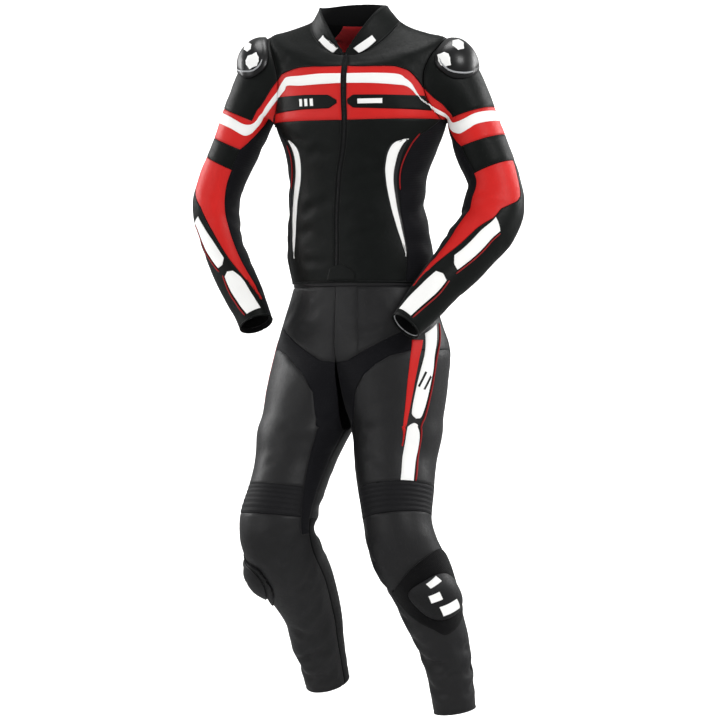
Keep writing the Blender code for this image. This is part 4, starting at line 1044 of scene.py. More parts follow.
def moulded(name, base, shade, roughness, coat, scuff):
    made, tree, shader = new_material(name, base, roughness, Coat_Weight=coat, Coat_Roughness=0.2,
                                      Specular_IOR_Level=0.3)
    place = add_node(tree, "TexCoord").outputs["Object"]
    drift = add_node(tree, "TexNoise", {}, {"Vector": place, "Scale": 40.0, "Detail": 3.0})
    tree.links.new(mix_colours(tree, drift.outputs["Fac"], shade, base), shader.inputs["Base Color"])
    marks = add_node(tree, "TexNoise", {}, {
        "Vector": place, "Scale": 300.0, "Detail": 4.0, "Distortion": 1.0})
    rough = add_node(tree, "MapRange", {}, {
        0: marks.outputs["Fac"], 1: 0.35, 2: 0.75, 3: roughness, 4: roughness + scuff})
    tree.links.new(rough.outputs[0], shader.inputs["Roughness"])
    tree.links.new(add_bump(tree, drift.outputs["Fac"], 0.0004, 0.25), shader.inputs["Normal"])
    return made


PLASTICS = {
    "hard_black": moulded("thermoplastic_gloss_black", "#0B0B0C", "#070708", 0.30, 0.10, 0.10),
    "slider_grey": moulded("polyurethane_matte_grey", "#121214", "#0D0D0F", 0.46, 0.0, 0.25),
    "rim_grey": moulded("thermoplastic_satin_grey", "#A9ABAD", "#8D8F92", 0.30, 0.3, 0.10),
    "insert_white": moulded("thermoplastic_gloss_white", "#F6F6F4", "#E8E8E6", 0.22, 0.5, 0.10),
    "zip_black": moulded("acetal_zip_black", "#141416", "#0B0B0D", 0.34, 0.2, 0.15),
    "thread_dark": moulded("bonded_nylon_charcoal", "#2A2A2B", "#1E1E1F", 0.55, 0.0, 0.1),
    "thread_red": moulded("bonded_nylon_red", "#B01C1E", "#8C1416", 0.55, 0.0, 0.1),
}
FINISHES = {**LEATHERS, **FABRICS, **PLASTICS}
print("finishes:", len(FINISHES))

# %% [markdown]
# ## Cutting the panels
# A panel takes the cells of the net between its seams. Each cell is divided finely, every point is put on the
# creased leather, and the sheet is given its thickness. At the seams the leather's edge is turned under and
# stitched down, so the outermost millimetres of every panel sink a little. Lining faces the inside.

# %% Divide a panel's cells
GROOVE, TURNED_EDGE, BURNISH, SAME_POINT, SHARP_EDGE = 0.0013, 0.0020, 0.007, 2e-5, math.radians(50)
TUBE_ROUND = {"body": 0.95, "sleeve": 0.34, "leg": 0.50, "waist": 0.90}
TUBE_ROW = {"body": 0.048, "sleeve": 0.052, "leg": 0.062, "waist": 0.048}
CUTS = {"body": (6, 6), "sleeve": (3, 5), "leg": (7, 7), "waist": (4, 3)}
PIECES, SEAM_LINES = {}, {}


def divide(net, cells, cuts):
    across, along = cuts
    index, quads = {}, []
    for line, column in cells:
        for i in range(along):
            for j in range(across):
                ring = ((0, 0), (0, 1), (1, 1), (1, 0))
                keys = [(line * along + i + di, column * across + j + dj) for di, dj in ring]
                quads.append([index.setdefault(key, len(index)) for key in keys])
    places = np.array([net(line / along, column / across) for line, column in index])
    return places, np.array(quads), list(index)


def flat_size(points, quads, keys):
    """The width, length and area of the cut that the panel came from, before it was bent round the limb."""
    a, b, c, d = (points[quads[:, corner]] for corner in range(4))
    wide = (np.linalg.norm(b - a, axis=1) + np.linalg.norm(c - d, axis=1)) / 2
    tall = (np.linalg.norm(d - a, axis=1) + np.linalg.norm(c - b, axis=1)) / 2
    widths, lengths = {}, {}
    for quad, across, along in zip(quads, wide, tall):
        line, column = keys[quad[0]]
        widths[line] = widths.get(line, 0) + across
        lengths[column] = lengths.get(column, 0) + along
    halves = [np.linalg.norm(np.cross(one, two), axis=1) for one, two in ((b - a, c - a), (c - a, d - a))]
    area = 0.5 * (halves[0] + halves[1]).sum()
    width, length = (round(float(max(sizes.values())), 4) for sizes in (widths, lengths))
    return width, length, float(min(max(area, 0.31 * width * length), width * length))


print("cuts per cell:", CUTS)

# %% Give a sheet its thickness and its turned edge


def keep_seam_line(finish, folded):
    """The fold along a panel's rim is where its topstitch runs."""
    points, edges, index = SEAM_LINES.setdefault(finish, ({}, [], {}))
    for face in folded:
        inner = [vert for vert in face.verts if not vert.is_boundary]
        if len(inner) != 2:
            continue
        keys = [tuple(round(x, 5) for x in vert.co) for vert in inner]
        for key, vert in zip(keys, inner):
            index.setdefault(key, len(index))
            points[key] = (vert.co.copy(), vert.normal.copy())
        edges.append(tuple(index[key] for key in keys))


def shell_piece(name, points, faces, spots, wall, lift, groove, finish, inside, turned):
    """A closed shell over a sheet of faces, with burnished, sunk edges, and a lining on its inside."""
    form = bmesh.new()
    verts = [form.verts.new(point) for point in points]
    grid = form.loops.layers.uv.new("cloth")
    for face in faces:
        if len({tuple(np.round(points[i], 7)) for i in face}) < 3:
            continue
        made = form.faces.new([verts[i] for i in face])
        for loop, i in zip(made.loops, face):
            loop[grid].uv = spots[i]
    bmesh.ops.remove_doubles(form, verts=form.verts, dist=SAME_POINT)
    folded = bmesh.ops.inset_region(form, faces=form.faces[:], thickness=turned, use_boundary=True,
                                    use_even_offset=False)["faces"]
    form.normal_update()
    if turned == TURNED_EDGE:
        keep_seam_line(finish, folded)
    form.verts.index_update()
    outer = np.array([vert.co for vert in form.verts])
    normal = np.array([vert.normal for vert in form.verts])
    rim = np.array([any(edge.is_boundary for edge in vert.link_edges) for vert in form.verts])
    rims = [edge for edge in form.edges if edge.is_boundary]
    near = np.exp(-(gap_to(outer[rim], outer) / BURNISH) ** 2)
    inner = outer + normal * (lift - wall)
    outer = outer + normal * (lift - groove * rim[:, None])
    count = len(outer)
    loops = [[(loop.vert.index, tuple(loop[grid].uv)) for loop in face.loops] for face in form.faces]
    polygons = [[i for i, _ in ring] for ring in loops]
    spots = [uv for ring in loops for _, uv in ring]
    polygons += [[i + count for i, _ in ring[::-1]] for ring in loops]
    spots += [uv for ring in loops for _, uv in ring[::-1]]
    for edge in rims:
        loop = edge.link_loops[0]
        a, b = loop.vert.index, loop.link_loop_next.vert.index
        polygons.append([b, a, a + count, b + count])
        spots += [tuple(loop[grid].uv)] * 4
    form.free()
    mesh = bpy.data.meshes.new(name)
    mesh.from_pydata(np.concatenate([outer, inner]).tolist(), [], polygons)
    mesh.materials.append(FINISHES[finish])
    mesh.materials.append(FINISHES[inside or finish])
    inside_faces = np.zeros(len(polygons), int)
    inside_faces[len(loops):2 * len(loops)] = 1
    mesh.polygons.foreach_set("material_index", inside_faces)
    mesh.uv_layers.new(name="cloth").data.foreach_set("uv", np.array(spots, float).ravel())
    edge_layer = mesh.attributes.new("edge", "FLOAT", "POINT")
    edge_layer.data.foreach_set("value", np.concatenate([near, near]).astype(float))
    mesh.shade_smooth()
    mesh.set_sharp_from_angle(angle=SHARP_EDGE)
    return add_object(name, mesh)


def closed_piece(name, points, faces, finish):
    """A smooth closed mesh, with its faces turned outwards."""
    mesh = bpy.data.meshes.new(name)
    mesh.from_pydata(points.tolist(), [], faces)
    form = bmesh.new()
    form.from_mesh(mesh)
    bmesh.ops.recalc_face_normals(form, faces=form.faces[:])
    form.to_mesh(mesh)
    form.free()
    mesh.materials.append(FINISHES[finish])
    mesh.shade_smooth()
    return add_object(name, mesh)


def hand_over(piece, nodes=()):
    """Every piece rides on the one body."""
    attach(piece, "root")
    if nodes:
        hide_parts(*nodes)
    PIECES[piece.name] = piece
    return piece


print("shells ready")

# %% One panel of cloth


def facing(points, faces, out):
    """The faces, turned so that they look outwards."""
    a, b, c = (points[faces[:, corner]] for corner in range(3))
    agree = (np.cross(b - a, c - a) * out[faces[:, 0]]).sum()
    return faces if agree > 0 else faces[:, ::-1]


def panel(node, tube, cells, finish, wall=LEATHER, lift=0.0, rise=None, inside="lining", net=None,
          groove=GROOVE, turned=TURNED_EDGE):
    kind = tube.split("_")[0]
    places, quads, keys = divide(net or NETS[tube], cells, CUTS[kind])
    points, out = skin(tube, places[:, 0], places[:, 1])
    if rise is not None:
        across, along = CUTS[kind]
        rises = [rise(line / along, column / across) for line, column in keys]
        points = points + out * np.array(rises)[:, None]
    flat = flat_size(points, quads, keys)
    spots = places * np.array([TUBE_ROUND[kind] / 360, TUBE_ROW[kind]])
    quads = facing(points, quads, out)
    piece = shell_piece(
        f"{node}_panel", points, quads.tolist(), spots, wall, lift, groove, finish, inside, turned)
    return hand_over(piece, [node])


print("panel cutter ready")

# %% [markdown]
# ## The jacket
# The jacket is sewn from two fronts, a red and white chest band, yokes, a back in three parts and stretch
# sides. On the real garment these are 1.2 to 1.4 mm cowhide, doubled over foam or lining, so the wall is
# 2.4 mm.

# %% The jacket's body
for side, word in SIDES.items():
    def own(first, last, side=side):
        return (first, last) if side > 0 else (mirrored(last), mirrored(first))

    front, flank = own(0, FRONT_COLUMN), own(FRONT_COLUMN, BACK_COLUMN)
    panel(f"front_{word}", "body", block((0, BAND_LINE), front), "jacket_leather")
    panel(f"chest_band_{word}", "body", block((BAND_LINE, YOKE_LINE), front), "red_leather")
    panel(f"front_yoke_{word}", "body", block((YOKE_LINE, NECK_LINE), front), "jacket_leather")
    panel(f"side_panel_{word}", "body", block((0, BAND_LINE), flank), "stretch")
REAR = [*range(BACK_COLUMN, LAST_COLUMN), *range(mirrored(LAST_COLUMN), mirrored(BACK_COLUMN))]


def across_back(*lines):
    return [(line, column) for line in range(*lines) for column in REAR]


panel("back_lower", "body", across_back(0, BAND_LINE), "jacket_leather")
panel("back_band", "body", across_back(BAND_LINE, YOKE_LINE), "red_leather")
panel("back_yoke", "body", across_back(YOKE_LINE, NECK_LINE), "jacket_leather")
half_round = [*range(FRONT_COLUMN), *range(BACK_COLUMN, LAST_COLUMN)]
all_round = [*half_round, *(mirrored(column + 1) for column in half_round)]
collar_cells = [(line, column) for line in range(NECK_LINE, RIM_LINE) for column in all_round]
panel("collar", "body", collar_cells, "jacket_leather", wall=COLLAR_WALL)
print("jacket pieces:", len(PIECES))

# %% The sleeves. A stretch strip runs up the inner side of each into the armpit
NARROW_TIP_EDGE = 0.0009
for side, word in SIDES.items():
    tube, around = f"sleeve_{word}", range(SLEEVE_COLUMNS)
    head = block((0, BAND_TOP_LINE), (HEAD_FRONT, HEAD_BACK))
    band = [(line, column) for line in range(BAND_FOOT_LINE) for column in around
            if column >= ARMPIT_COLUMN and (line, column) not in head]
    stretch = range(STRETCH_FRONT, STRETCH_BACK)
    inner = [(line, column) for line in range(CUFF_LINE) for column in around
             if column < ARMPIT_COLUMN or line >= BAND_FOOT_LINE and column not in stretch]
    red = block((RED_TOP_LINE, RED_TIP_LINE), (STRETCH_FRONT, RED_EDGE))
    outer = block((BAND_FOOT_LINE, CUFF_LINE), (STRETCH_FRONT, STRETCH_BACK))
    lower = [place for place in outer if place not in red]
    panel(f"sleeve_head_{word}", tube, head, "jacket_leather")
    panel(f"sleeve_band_{word}", tube, band, "red_leather")
    panel(f"sleeve_stretch_{word}", tube, inner, "stretch")
    panel(f"forearm_panel_{word}", tube, red, "red_leather", turned=NARROW_TIP_EDGE)
    panel(f"sleeve_lower_{word}", tube, lower, "jacket_leather")
print("with sleeves:", len(PIECES))

# %% [markdown]
# ## The trousers
# Each leg has a hip front, a seat, a thigh, a shin and a calf in leather. Stretch lies in the crotch, along
# the inner thigh and above the knee, where it is sewn into ribs that open like bellows when the knee bends.

# %% The legs


def rib(line, column):
    inside = RIB_LINE < line < SHIN_LINE and GUSSET_COLUMN < column < SIDE_COLUMN
    if not inside:
        return 0.0
    aside = min(column - GUSSET_COLUMN, SIDE_COLUMN - column)
    fade = min(1, 2 * aside, 3 * (line - RIB_LINE), 3 * (SHIN_LINE - line))
    return RIB_HEIGHT * fade * (0.5 - 0.5 * math.cos(2 * math.pi * (line - RIB_LINE)))


for side, word in SIDES.items():
    tube, front, flank = f"leg_{word}", (0, RED_COLUMN), (RED_COLUMN, SIDE_COLUMN)
    rear = SIDE_COLUMN, LEG_COLUMNS_END
    hip = block((0, GUSSET_LINE), front) + block((0, THIGH_LINE), flank)
    gusset = block((GUSSET_LINE, THIGH_LINE), front) + block((THIGH_LINE, SHIN_LINE + 1), (0, GUSSET_COLUMN))
    thigh = block((THIGH_LINE, RIB_LINE), (GUSSET_COLUMN, LEG_COLUMNS_END))
    thigh += block((RIB_LINE, SHIN_LINE), rear)
    ribs = block((RIB_LINE, SHIN_LINE), (GUSSET_COLUMN, SIDE_COLUMN))
    shin = block((SHIN_LINE, HEM_LINE), (GUSSET_COLUMN, SIDE_COLUMN))
    shin += block((SHIN_LINE + 1, HEM_LINE), (0, GUSSET_COLUMN))
    panel(f"hip_front_{word}", tube, hip, "leather")
    panel(f"seat_{word}", tube, block((0, THIGH_LINE), rear), "leather")
    panel(f"gusset_{word}", tube, gusset, "stretch")
    panel(f"thigh_{word}", tube, thigh, "leather")
    panel(f"knee_stretch_{word}", tube, ribs, "ribbed_stretch", rise=rib)
    panel(f"shin_{word}", tube, shin, "leather")
    # The calf panels take the darker leather, as painted shade
    panel(f"calf_{word}", tube, block((SHIN_LINE, HEM_LINE), rear), "calf_painted_shade_leather")
print("with legs:", len(PIECES))

# %% The fly, the waistband and the neck label lie on the inside or the outside of other panels
UNDER_HEM = LEATHER + SEAM


def waist_point(around, row):
    """The waistband's face lies inside the jacket's hem, and is let down to the legs' top edge."""
    top = np.maximum(np.asarray(row, float), 0)
    point = body_point(around, top) - outward(body_point, around, top) * UNDER_HEM
    point[:, 2] += np.minimum(row, 0) * (point[:, 2] - LEG[1][0]["height"])
    return point


TUBES["waist"], CREASES["waist"], ARMOUR["waist"] = waist_point, [], ()
WAIST_ROWS = (-1, 0, 0.45)


def waist_net(line, column):
    return body_place(0, column)[0], between(WAIST_ROWS, line)


LABEL_LIFT = -(LEATHER + SEAM)
label_cells = block((YOKE_LINE + 2, NECK_LINE), (mirrored(LAST_COLUMN), mirrored(LAST_COLUMN) + 2))
panel("neck_label", "body", label_cells, "label_red", wall=LABEL, lift=LABEL_LIFT, inside="label_red")
panel("waistband", "waist", block((0, 2), (mirrored(LAST_COLUMN), LAST_COLUMN)), "leather", net=waist_net)
panel("fly", "leg_left", block((0, GUSSET_LINE), (0, GUSSET_COLUMN)), "leather", wall=TRIM, lift=SEAM + TRIM,
      inside="leather", groove=TRIM / 2)
ZIP_SINK, TAPE_EDGE = 0.0006, 0.0005
panel("front_zip", "body", block((0, NECK_LINE), (-1, 0)), "zip_tape", wall=LEATHER - ZIP_SINK,
      lift=-ZIP_SINK, inside="zip_tape", groove=0.0, turned=TAPE_EDGE)
print("flat panels:", len(PIECES))

# %% [markdown]
# ## Stripes, trims and patches
# Stripes are thin leather, skived at the edge and sewn on top. A patch here lies between two lines of
# places on a surface, at a height over it, and its ends can be rounded. Piping is a cord in a folded strip,
# sewn along an edge.

# %% A surface is a function from places to points, with the metres that one unit of each place is worth
Surface = namedtuple("Surface", "points scale")


def on_tube(name):
    kind = name.split("_")[0]
    return Surface(lambda places: skin(name, places[:, 0], places[:, 1]),
                   np.array([TUBE_ROUND[kind] / 360, TUBE_ROW[kind]]))


SURFACES = {name: on_tube(name) for name in NETS}


def spread(surface, places, count, sharp):
    """Evenly spaced places on a smooth line, or on straight runs, through a few places."""
    rows, cuts = table("u v", *places), 1 if sharp else 14
    at = np.linspace(0, len(rows) - 1, cuts * (len(rows) - 1) + 1)
    dense = np.stack([smooth(rows, name, at) for name in "uv"], 1)
    steps = np.linalg.norm(np.diff(dense, axis=0) * surface.scale, axis=1)
    length = np.concatenate([[0], np.cumsum(steps)])
    want = np.linspace(0, length[-1], count + 1)
    return np.stack([np.interp(want, length, dense[:, i]) for i in (0, 1)], 1), length[-1]


def end_taper(run, length, reaches):
    """A half width of 1 along a patch, rounded off near each end that has a reach."""
    narrow = np.ones_like(run)
    for reach, gap in zip(reaches, (run, length - run)):
        if reach:
            narrow = np.minimum(narrow, np.sqrt(1 - (1 - np.clip(gap / reach, 0.003, 1)) ** 2))
    return narrow


PATCH_STEP, PATCH_EDGE, PATCH_SINK, PATCH_SAMPLES = 0.0045, 0.0012, 0.0006, 200
LONG_CELLS, WIDE_CELLS = (4, 120), (3, 24)
STRIPE_LIFT = SEAM + TRIM
INLAY_LIFT = STRIPE_LIFT + 0.0006


def patch(name, surface, first, last, finish, nodes=(), share=(0, 1), ends=(0, 0), wall=TRIM, sharp=False,
          lift=STRIPE_LIFT, slot=None):
    a, length = spread(surface, first, PATCH_SAMPLES, sharp)
    b, other = spread(surface, last, PATCH_SAMPLES, sharp)
    width = np.linalg.norm((b - a) * surface.scale, axis=1).max() * (share[1] - share[0])
    long = int(np.clip(max(length, other) / PATCH_STEP, *LONG_CELLS))
    wide = int(np.clip(width / PATCH_STEP, *WIDE_CELLS))
    t = np.linspace(0, 1, long + 1)
    index = t * PATCH_SAMPLES
    samples = range(PATCH_SAMPLES + 1)
    a, b = (np.stack([np.interp(index, samples, line[:, i]) for i in (0, 1)], 1) for line in (a, b))
    narrow = end_taper(t * length, length, ends)
    across = np.linspace(-1, 1, wide + 1)
    shares = (sum(share) + (share[1] - share[0]) * narrow[:, None] * across) / 2
    places = (a[:, None] + (b - a)[:, None] * shares[..., None]).reshape(-1, 2)
    points, out = surface.points(places)
    keys = [(i, j) for i in range(long + 1) for j in range(wide + 1)]
    corner = {key: index for index, key in enumerate(keys)}
    quads = np.array([[corner[i, j], corner[i, j + 1], corner[i + 1, j + 1], corner[i + 1, j]]
                      for i in range(long) for j in range(wide)])
    flat = flat_size(points, quads, keys)
    quads = facing(points, quads, out)
    piece = shell_piece(name, points, quads.tolist(), places * surface.scale, wall, lift, PATCH_SINK, finish,
                        finish, PATCH_EDGE)
    return hand_over(piece, nodes)


print("stripes lie", round(STRIPE_LIFT * 1000, 1), "mm up, inlays", round(INLAY_LIFT * 1000, 1), "mm")

# %% Piping, as a closed round cord that is sunk a little
PIPING_SIDES, PIPING_STEP, PIPING_SAMPLES, PIPING_TIP = 8, 0.004, 400, 1.5


def piping(name, surface, line, finish, radius=0.0015, height=0.0009):
    places, length = spread(surface, line, PIPING_SAMPLES, False)
    count = int(max(length / PIPING_STEP, 3))
    places = places[np.linspace(0, PIPING_SAMPLES, count + 1).astype(int)]
    points, out = surface.points(places)
    along = unit(np.gradient(points, axis=0))
    aside = unit(np.cross(out, along))
    turn = np.linspace(0, 2 * math.pi, PIPING_SIDES, endpoint=False)
    from_end = np.minimum(range(count + 1), range(count, -1, -1)) / PIPING_TIP
    taper = radius * np.sqrt(1 - (1 - np.clip(from_end, 0.1, 1)) ** 2)
    ring = np.cos(turn)[None, :, None] * aside[:, None] + np.sin(turn)[None, :, None] * out[:, None]
    verts = (points + out * height)[:, None] + ring * taper[:, None, None]
    faces = [(i * PIPING_SIDES + j, i * PIPING_SIDES + (j + 1) % PIPING_SIDES,
              (i + 1) * PIPING_SIDES + (j + 1) % PIPING_SIDES, (i + 1) * PIPING_SIDES + j)
             for i in range(count) for j in range(PIPING_SIDES)]
    last = count * PIPING_SIDES
    faces += [tuple(range(PIPING_SIDES))[::-1], tuple(range(last, last + PIPING_SIDES))]
    return hand_over(closed_piece(name, verts.reshape(-1, 3), faces, finish))


print("piping has", PIPING_SIDES, "sides")

# %% The chest. The insets carry plain bars in place of words
body = SURFACES["body"]
STRIPES = {
    1: (((1.9, 8.42), (16, 8.38), (33.8, 8.18), (39.8, 7.91), (44.5, 7.66), (48, 7.38), (52, 7.09),
         (63.3, 6.66)),
        ((1.9, 7.8), (17, 7.75), (34.5, 7.61), (40.2, 7.55), (44.8, 7.39), (48.2, 7.2), (54, 6.83),
         (69.3, 6.36))),
    -1: (((1.9, 8.42), (16, 8.38), (30.2, 8.22), (42.2, 8.11), (47.2, 7.89), (55.4, 7.45)),
         ((1.9, 7.8), (17, 7.75), (30.8, 7.69), (43, 7.69), (46.8, 7.46), (57.9, 7.09))),
}
TICK_START, TICK_PITCH, TICK_WIDTH = -21, 4.4, 2.4
INSETS = {
    1: (((2.4, 6.98), (6, 7.2), (23, 7.17), (57, 7.08)), ((2.4, 6.78), (6, 6.55), (23, 6.5), (64.5, 6.42))),
    -1: (((4.5, 6.96), (10, 7.22), (27, 7.25), (56.5, 7.18)),
         ((4.5, 6.8), (10, 6.55), (28, 6.55), (64, 6.45))),
}


def to_side(side, line):
    return [(side * around, row) for around, row in line]


for side, word in SIDES.items():
    top, low = (to_side(side, line) for line in STRIPES[side])
    patch(f"chest_stripe_{word}_strip", body, top, low, "white_leather", [f"chest_stripe_{word}"])
    top, low = (to_side(side, line) for line in INSETS[side])
    patch(f"chest_inset_{word}", body, top, low, "jacket_leather", sharp=True)
patch("chest_bar_plain", body, [(9, 6.99), (25, 6.99)], [(9, 6.75), (25, 6.75)], "white_leather",
      lift=INLAY_LIFT)
for index in range(3):
    start = TICK_START - TICK_PITCH * index
    patch(f"chest_bar_{index}", body, *([(edge, 7.06), (edge, 6.7)] for edge in (start, start - TICK_WIDTH)),
          "white_leather", lift=INLAY_LIFT)
print("pieces so far:", len(PIECES))

# %% The collar's patches, in black borders, and the pocket zips' trims with red piping
COLLAR_PATCHES = {
    1: (((12.8, 14.12), (39, 13.89)), ((16, 13.05), (40.5, 13.31))),
    -1: (((10.5, 14.4), (38, 14.03)), ((17.8, 12.94), (43.8, 13.15))),
}
TRIM_LINES = {
    1: (((46, 5.27), (38, 5.15), (35, 4.82), (36.5, 4.35), (40, 3.75), (45, 2.85), (51, 1.85), (56, 0.9)),
        ((50, 5.33), (45.5, 5.15), (43.5, 4.8), (44.5, 4.4), (46.5, 3.8), (50, 3.0), (54.5, 2.0),
         (57.5, 0.95))),
    -1: (((48, 5.3), (42, 5.0), (39.5, 4.55), (39, 3.95), (41.5, 3.15), (42.5, 2.35), (43.5, 1.55),
          (45, 0.9)),
         ((55, 5.42), (50.5, 5.1), (47.5, 4.7), (47, 4.15), (49, 3.2), (49, 2.4), (48, 1.6), (46.5, 0.9))),
}
TRIM_PIPING = {
    1: ((57, 5.5), (53, 5.15), (51, 4.7), (51.5, 4.15), (54, 3.45)),
    -1: ((58, 5.2), (54.5, 4.75), (54, 4.3), (56, 3.6)),
}
for side, word in SIDES.items():
    top, low = (to_side(side, line) for line in COLLAR_PATCHES[side])
    patch(f"collar_border_{word}", body, top, low, "jacket_leather", share=(-0.12, 1.12))
    patch(f"collar_patch_{word}", body, top, low, "white_leather", lift=INLAY_LIFT)
    inner, outer = (to_side(side, line) for line in TRIM_LINES[side])
    patch(f"pocket_border_{word}", body, inner, outer, "zip_black", share=(-0.18, 1.5), ends=(0.01, 0.03),
          lift=0.0009, wall=LABEL)
    patch(f"pocket_trim_{word}_strip", body, inner, outer, "white_leather", [f"pocket_trim_{word}"],
          ends=(0.012, 0.03))
    piping(f"pocket_piping_{word}", body, to_side(side, TRIM_PIPING[side]), "dark_red")
print("pieces so far:", len(PIECES))

# %% The sleeves' white stripe runs from the armhole, in a V, around the upper arm
ARM_STRIPES = {
    1: (((-42.2, 0.02), (-47, 0.5), (-45, 0.92), (-38.8, 1.11), (-27, 1.16), (-4.5, 1.15), (17, 1.1),
         (38, 1.09), (90, 1.13), (150, 1.16), (197, 1.16)),
        ((-55, 0.02), (-60, 0.6), (-58, 1.05), (-50, 1.3), (-33.5, 1.45), (-21.5, 1.5), (-0.5, 1.45),
         (17.2, 1.39), (42.8, 1.39), (90, 1.42), (199, 1.42))),
    -1: (((-16, 0.02), (-31, 0.4), (-43, 0.72), (-42.5, 1.05), (-36.8, 1.2), (-29, 1.26), (-16.2, 1.29),
          (2.5, 1.27), (25, 1.25), (90, 1.24), (150, 1.22), (197, 1.18)),
         ((-27, 0.02), (-48.2, 0.55), (-54, 0.85), (-53, 1.12), (-47.5, 1.3), (-42.8, 1.41), (-33.8, 1.5),
          (-24, 1.52), (-7.5, 1.5), (13.2, 1.48), (90, 1.48), (199, 1.44))),
}
BARS = {
    1: (((17, 4.95), (14, 5.5), (3, 6.5), (-6, 7.2)), ((41, 5.3), (36, 6.1), (29, 6.85), (24, 7.55)),
        ((-12, 7.9), (-22, 8.45), (-31, 9.05), (-47, 9.8)), ((23, 7.95), (23, 8.6), (18, 9.2), (9, 9.85))),
    -1: (((35, 4.35), (22, 4.95), (8, 5.5), (-4, 6.1)), ((58, 4.5), (48, 5.3), (34, 5.9), (24, 6.3)),
         ((-7, 6.48), (-23, 6.95), (-28, 7.6), (-42, 8.5)), ((19, 6.5), (24, 7.2), (20, 7.9), (8, 8.65))),
}
PIPING_ASIDE = 0.16
for side, word in SIDES.items():
    arm = SURFACES[f"sleeve_{word}"]
    patch(f"sleeve_stripe_{word}_strip", arm, *ARM_STRIPES[side], "white_leather", [f"sleeve_stripe_{word}"])
    inner_1, outer_1, inner_2, outer_2 = BARS[side]
    patch(f"forearm_bar_{word}_upper", arm, inner_1, outer_1, "white_leather", [f"forearm_bar_{word}"],
          ends=(0, 0.006))
    patch(f"forearm_bar_{word}_lower", arm, inner_2, outer_2, "white_leather", ends=(0.006, 0))
    for index, (inner, outer) in enumerate(((inner_1, outer_1), (inner_2, outer_2))):
        line = [tuple(o + PIPING_ASIDE * (o - i) for i, o in zip(*pair)) for pair in zip(inner, outer)]
        piping(f"forearm_piping_{word}_{index}", arm, line, "dark_red")
print("pieces so far:", len(PIECES))

# %% The thighs' stripes: a red wedge, and a white stripe in two lengths with red piping
WEDGE = (((-68.2, 1.7), (-71.2, 2.15), (-70.2, 2.55), (-64.2, 3.45), (-60.2, 3.99), (-54.9, 4.79),
          (-54.6, 5.55)),
         ((-49.2, 1.7), (-56.2, 2.15), (-57.5, 2.55), (-55.8, 3.45), (-54.2, 3.99), (-51.5, 4.79),
          (-53.6, 5.55)))
WHITE_UPPER = (((-42.5, 1.49), (-47.8, 2.06), (-52.2, 2.66), (-52.2, 3.58), (-49.2, 4.05)),
               ((-6, 1.18), (-27.5, 2.06), (-28.2, 2.66), (-30.5, 3.45), (-35, 4.22)))
WHITE_LOWER = (((-48, 4.36), (-50.4, 5.0), (-51.6, 5.65), (-54.5, 6.45), (-57.2, 6.88)),
               ((-38, 4.36), (-33, 5.0), (-32, 5.65), (-34.8, 6.41), (-37.2, 6.88)))
STRIPE_PIPING = ((7, 1.15), (-21.8, 2.11), (-24.5, 2.98), (-28.2, 4.06), (-31.2, 4.42), (-30.2, 5.14),
                 (-31, 6.41), (-33.5, 6.88))
STRIPE_BACK = {1: 0, -1: 36}
SLASHES = ((((-51.2, 3.0), (-43.8, 2.58)), ((-47.8, 3.04), (-39.8, 2.61))),
           (((-41, 3.1), (-33, 2.69)), ((-37.2, 3.12), (-29.2, 2.74))))
for side, word in SIDES.items():
    leg = SURFACES[f"leg_{word}"]

    def shifted(line, back=STRIPE_BACK[side]):
        return [(around + back * above_knee(row), row) for around, row in line]

    patch(f"side_stripe_red_{word}_wedge", leg, *map(shifted, WEDGE), "red_leather",
          [f"side_stripe_red_{word}"])
    patch(f"side_stripe_white_{word}_upper", leg, *map(shifted, WHITE_UPPER), "white_leather",
          [f"side_stripe_white_{word}"], ends=(0, 0.010))
    patch(f"side_stripe_white_{word}_lower", leg, *map(shifted, WHITE_LOWER), "white_leather",
          ends=(0.01, 0))
    for index, slash in enumerate(SLASHES):
        patch(f"side_stripe_slash_{word}_{index}", leg, *map(shifted, slash), "leather", lift=INLAY_LIFT)
    piping(f"side_stripe_{word}_piping", leg, shifted(STRIPE_PIPING), "dark_red", radius=0.0018)
print("pieces so far:", len(PIECES))

# %% [markdown]
# ## Hard pieces
# Shoulder cups and knee sliders are moulded in one piece each, and bolted or held by hook tape. Each is a
# dome over its tube with a superellipse outline. A shallow channel runs inside the cup's rim, and the rim
# itself is rounded.

# %% The dome as a surface, so that inserts can lie on it
CORNER_POWER, CROWN_POWER, DOME_EDGE, DOME_STEP, CHANNEL_AT, CHANNEL_WIDTH = 2.6, 2.2, 0.003, 0.01, 0.84, 0.03
CUP_MIDDLE, CUP_REACH, CUP_CHANNEL = (60, 0.31), (42, 0.28), 0.0009
SLIDER_MIDDLE, SLIDER_REACH, SLIDER_SKEW = {1: (-34, 10.35), -1: (-31, 9.7)}, (44, 0.60), 18
Dome = namedtuple("Dome", "tube middle reach skew rise rest channel")


def over_tube(dome, x, y, height):
    around = dome.middle[0] + dome.reach[0] * x + dome.skew * y
    row = dome.middle[1] + dome.reach[1] * y
    point = TUBES[dome.tube]
    return point(around, row) + outward(point, around, row) * height[:, None] - HELD_AT


def crown_point(dome, x, y):
    share = np.minimum((np.abs(x) ** CORNER_POWER + np.abs(y) ** CORNER_POWER) ** (1 / CORNER_POWER), 1)
    height = dome.rest + DOME_EDGE + dome.rise * (1 - share**CROWN_POWER)
    return over_tube(dome, x, y, height - dome.channel * np.exp(-((share - CHANNEL_AT) / CHANNEL_WIDTH) ** 2))


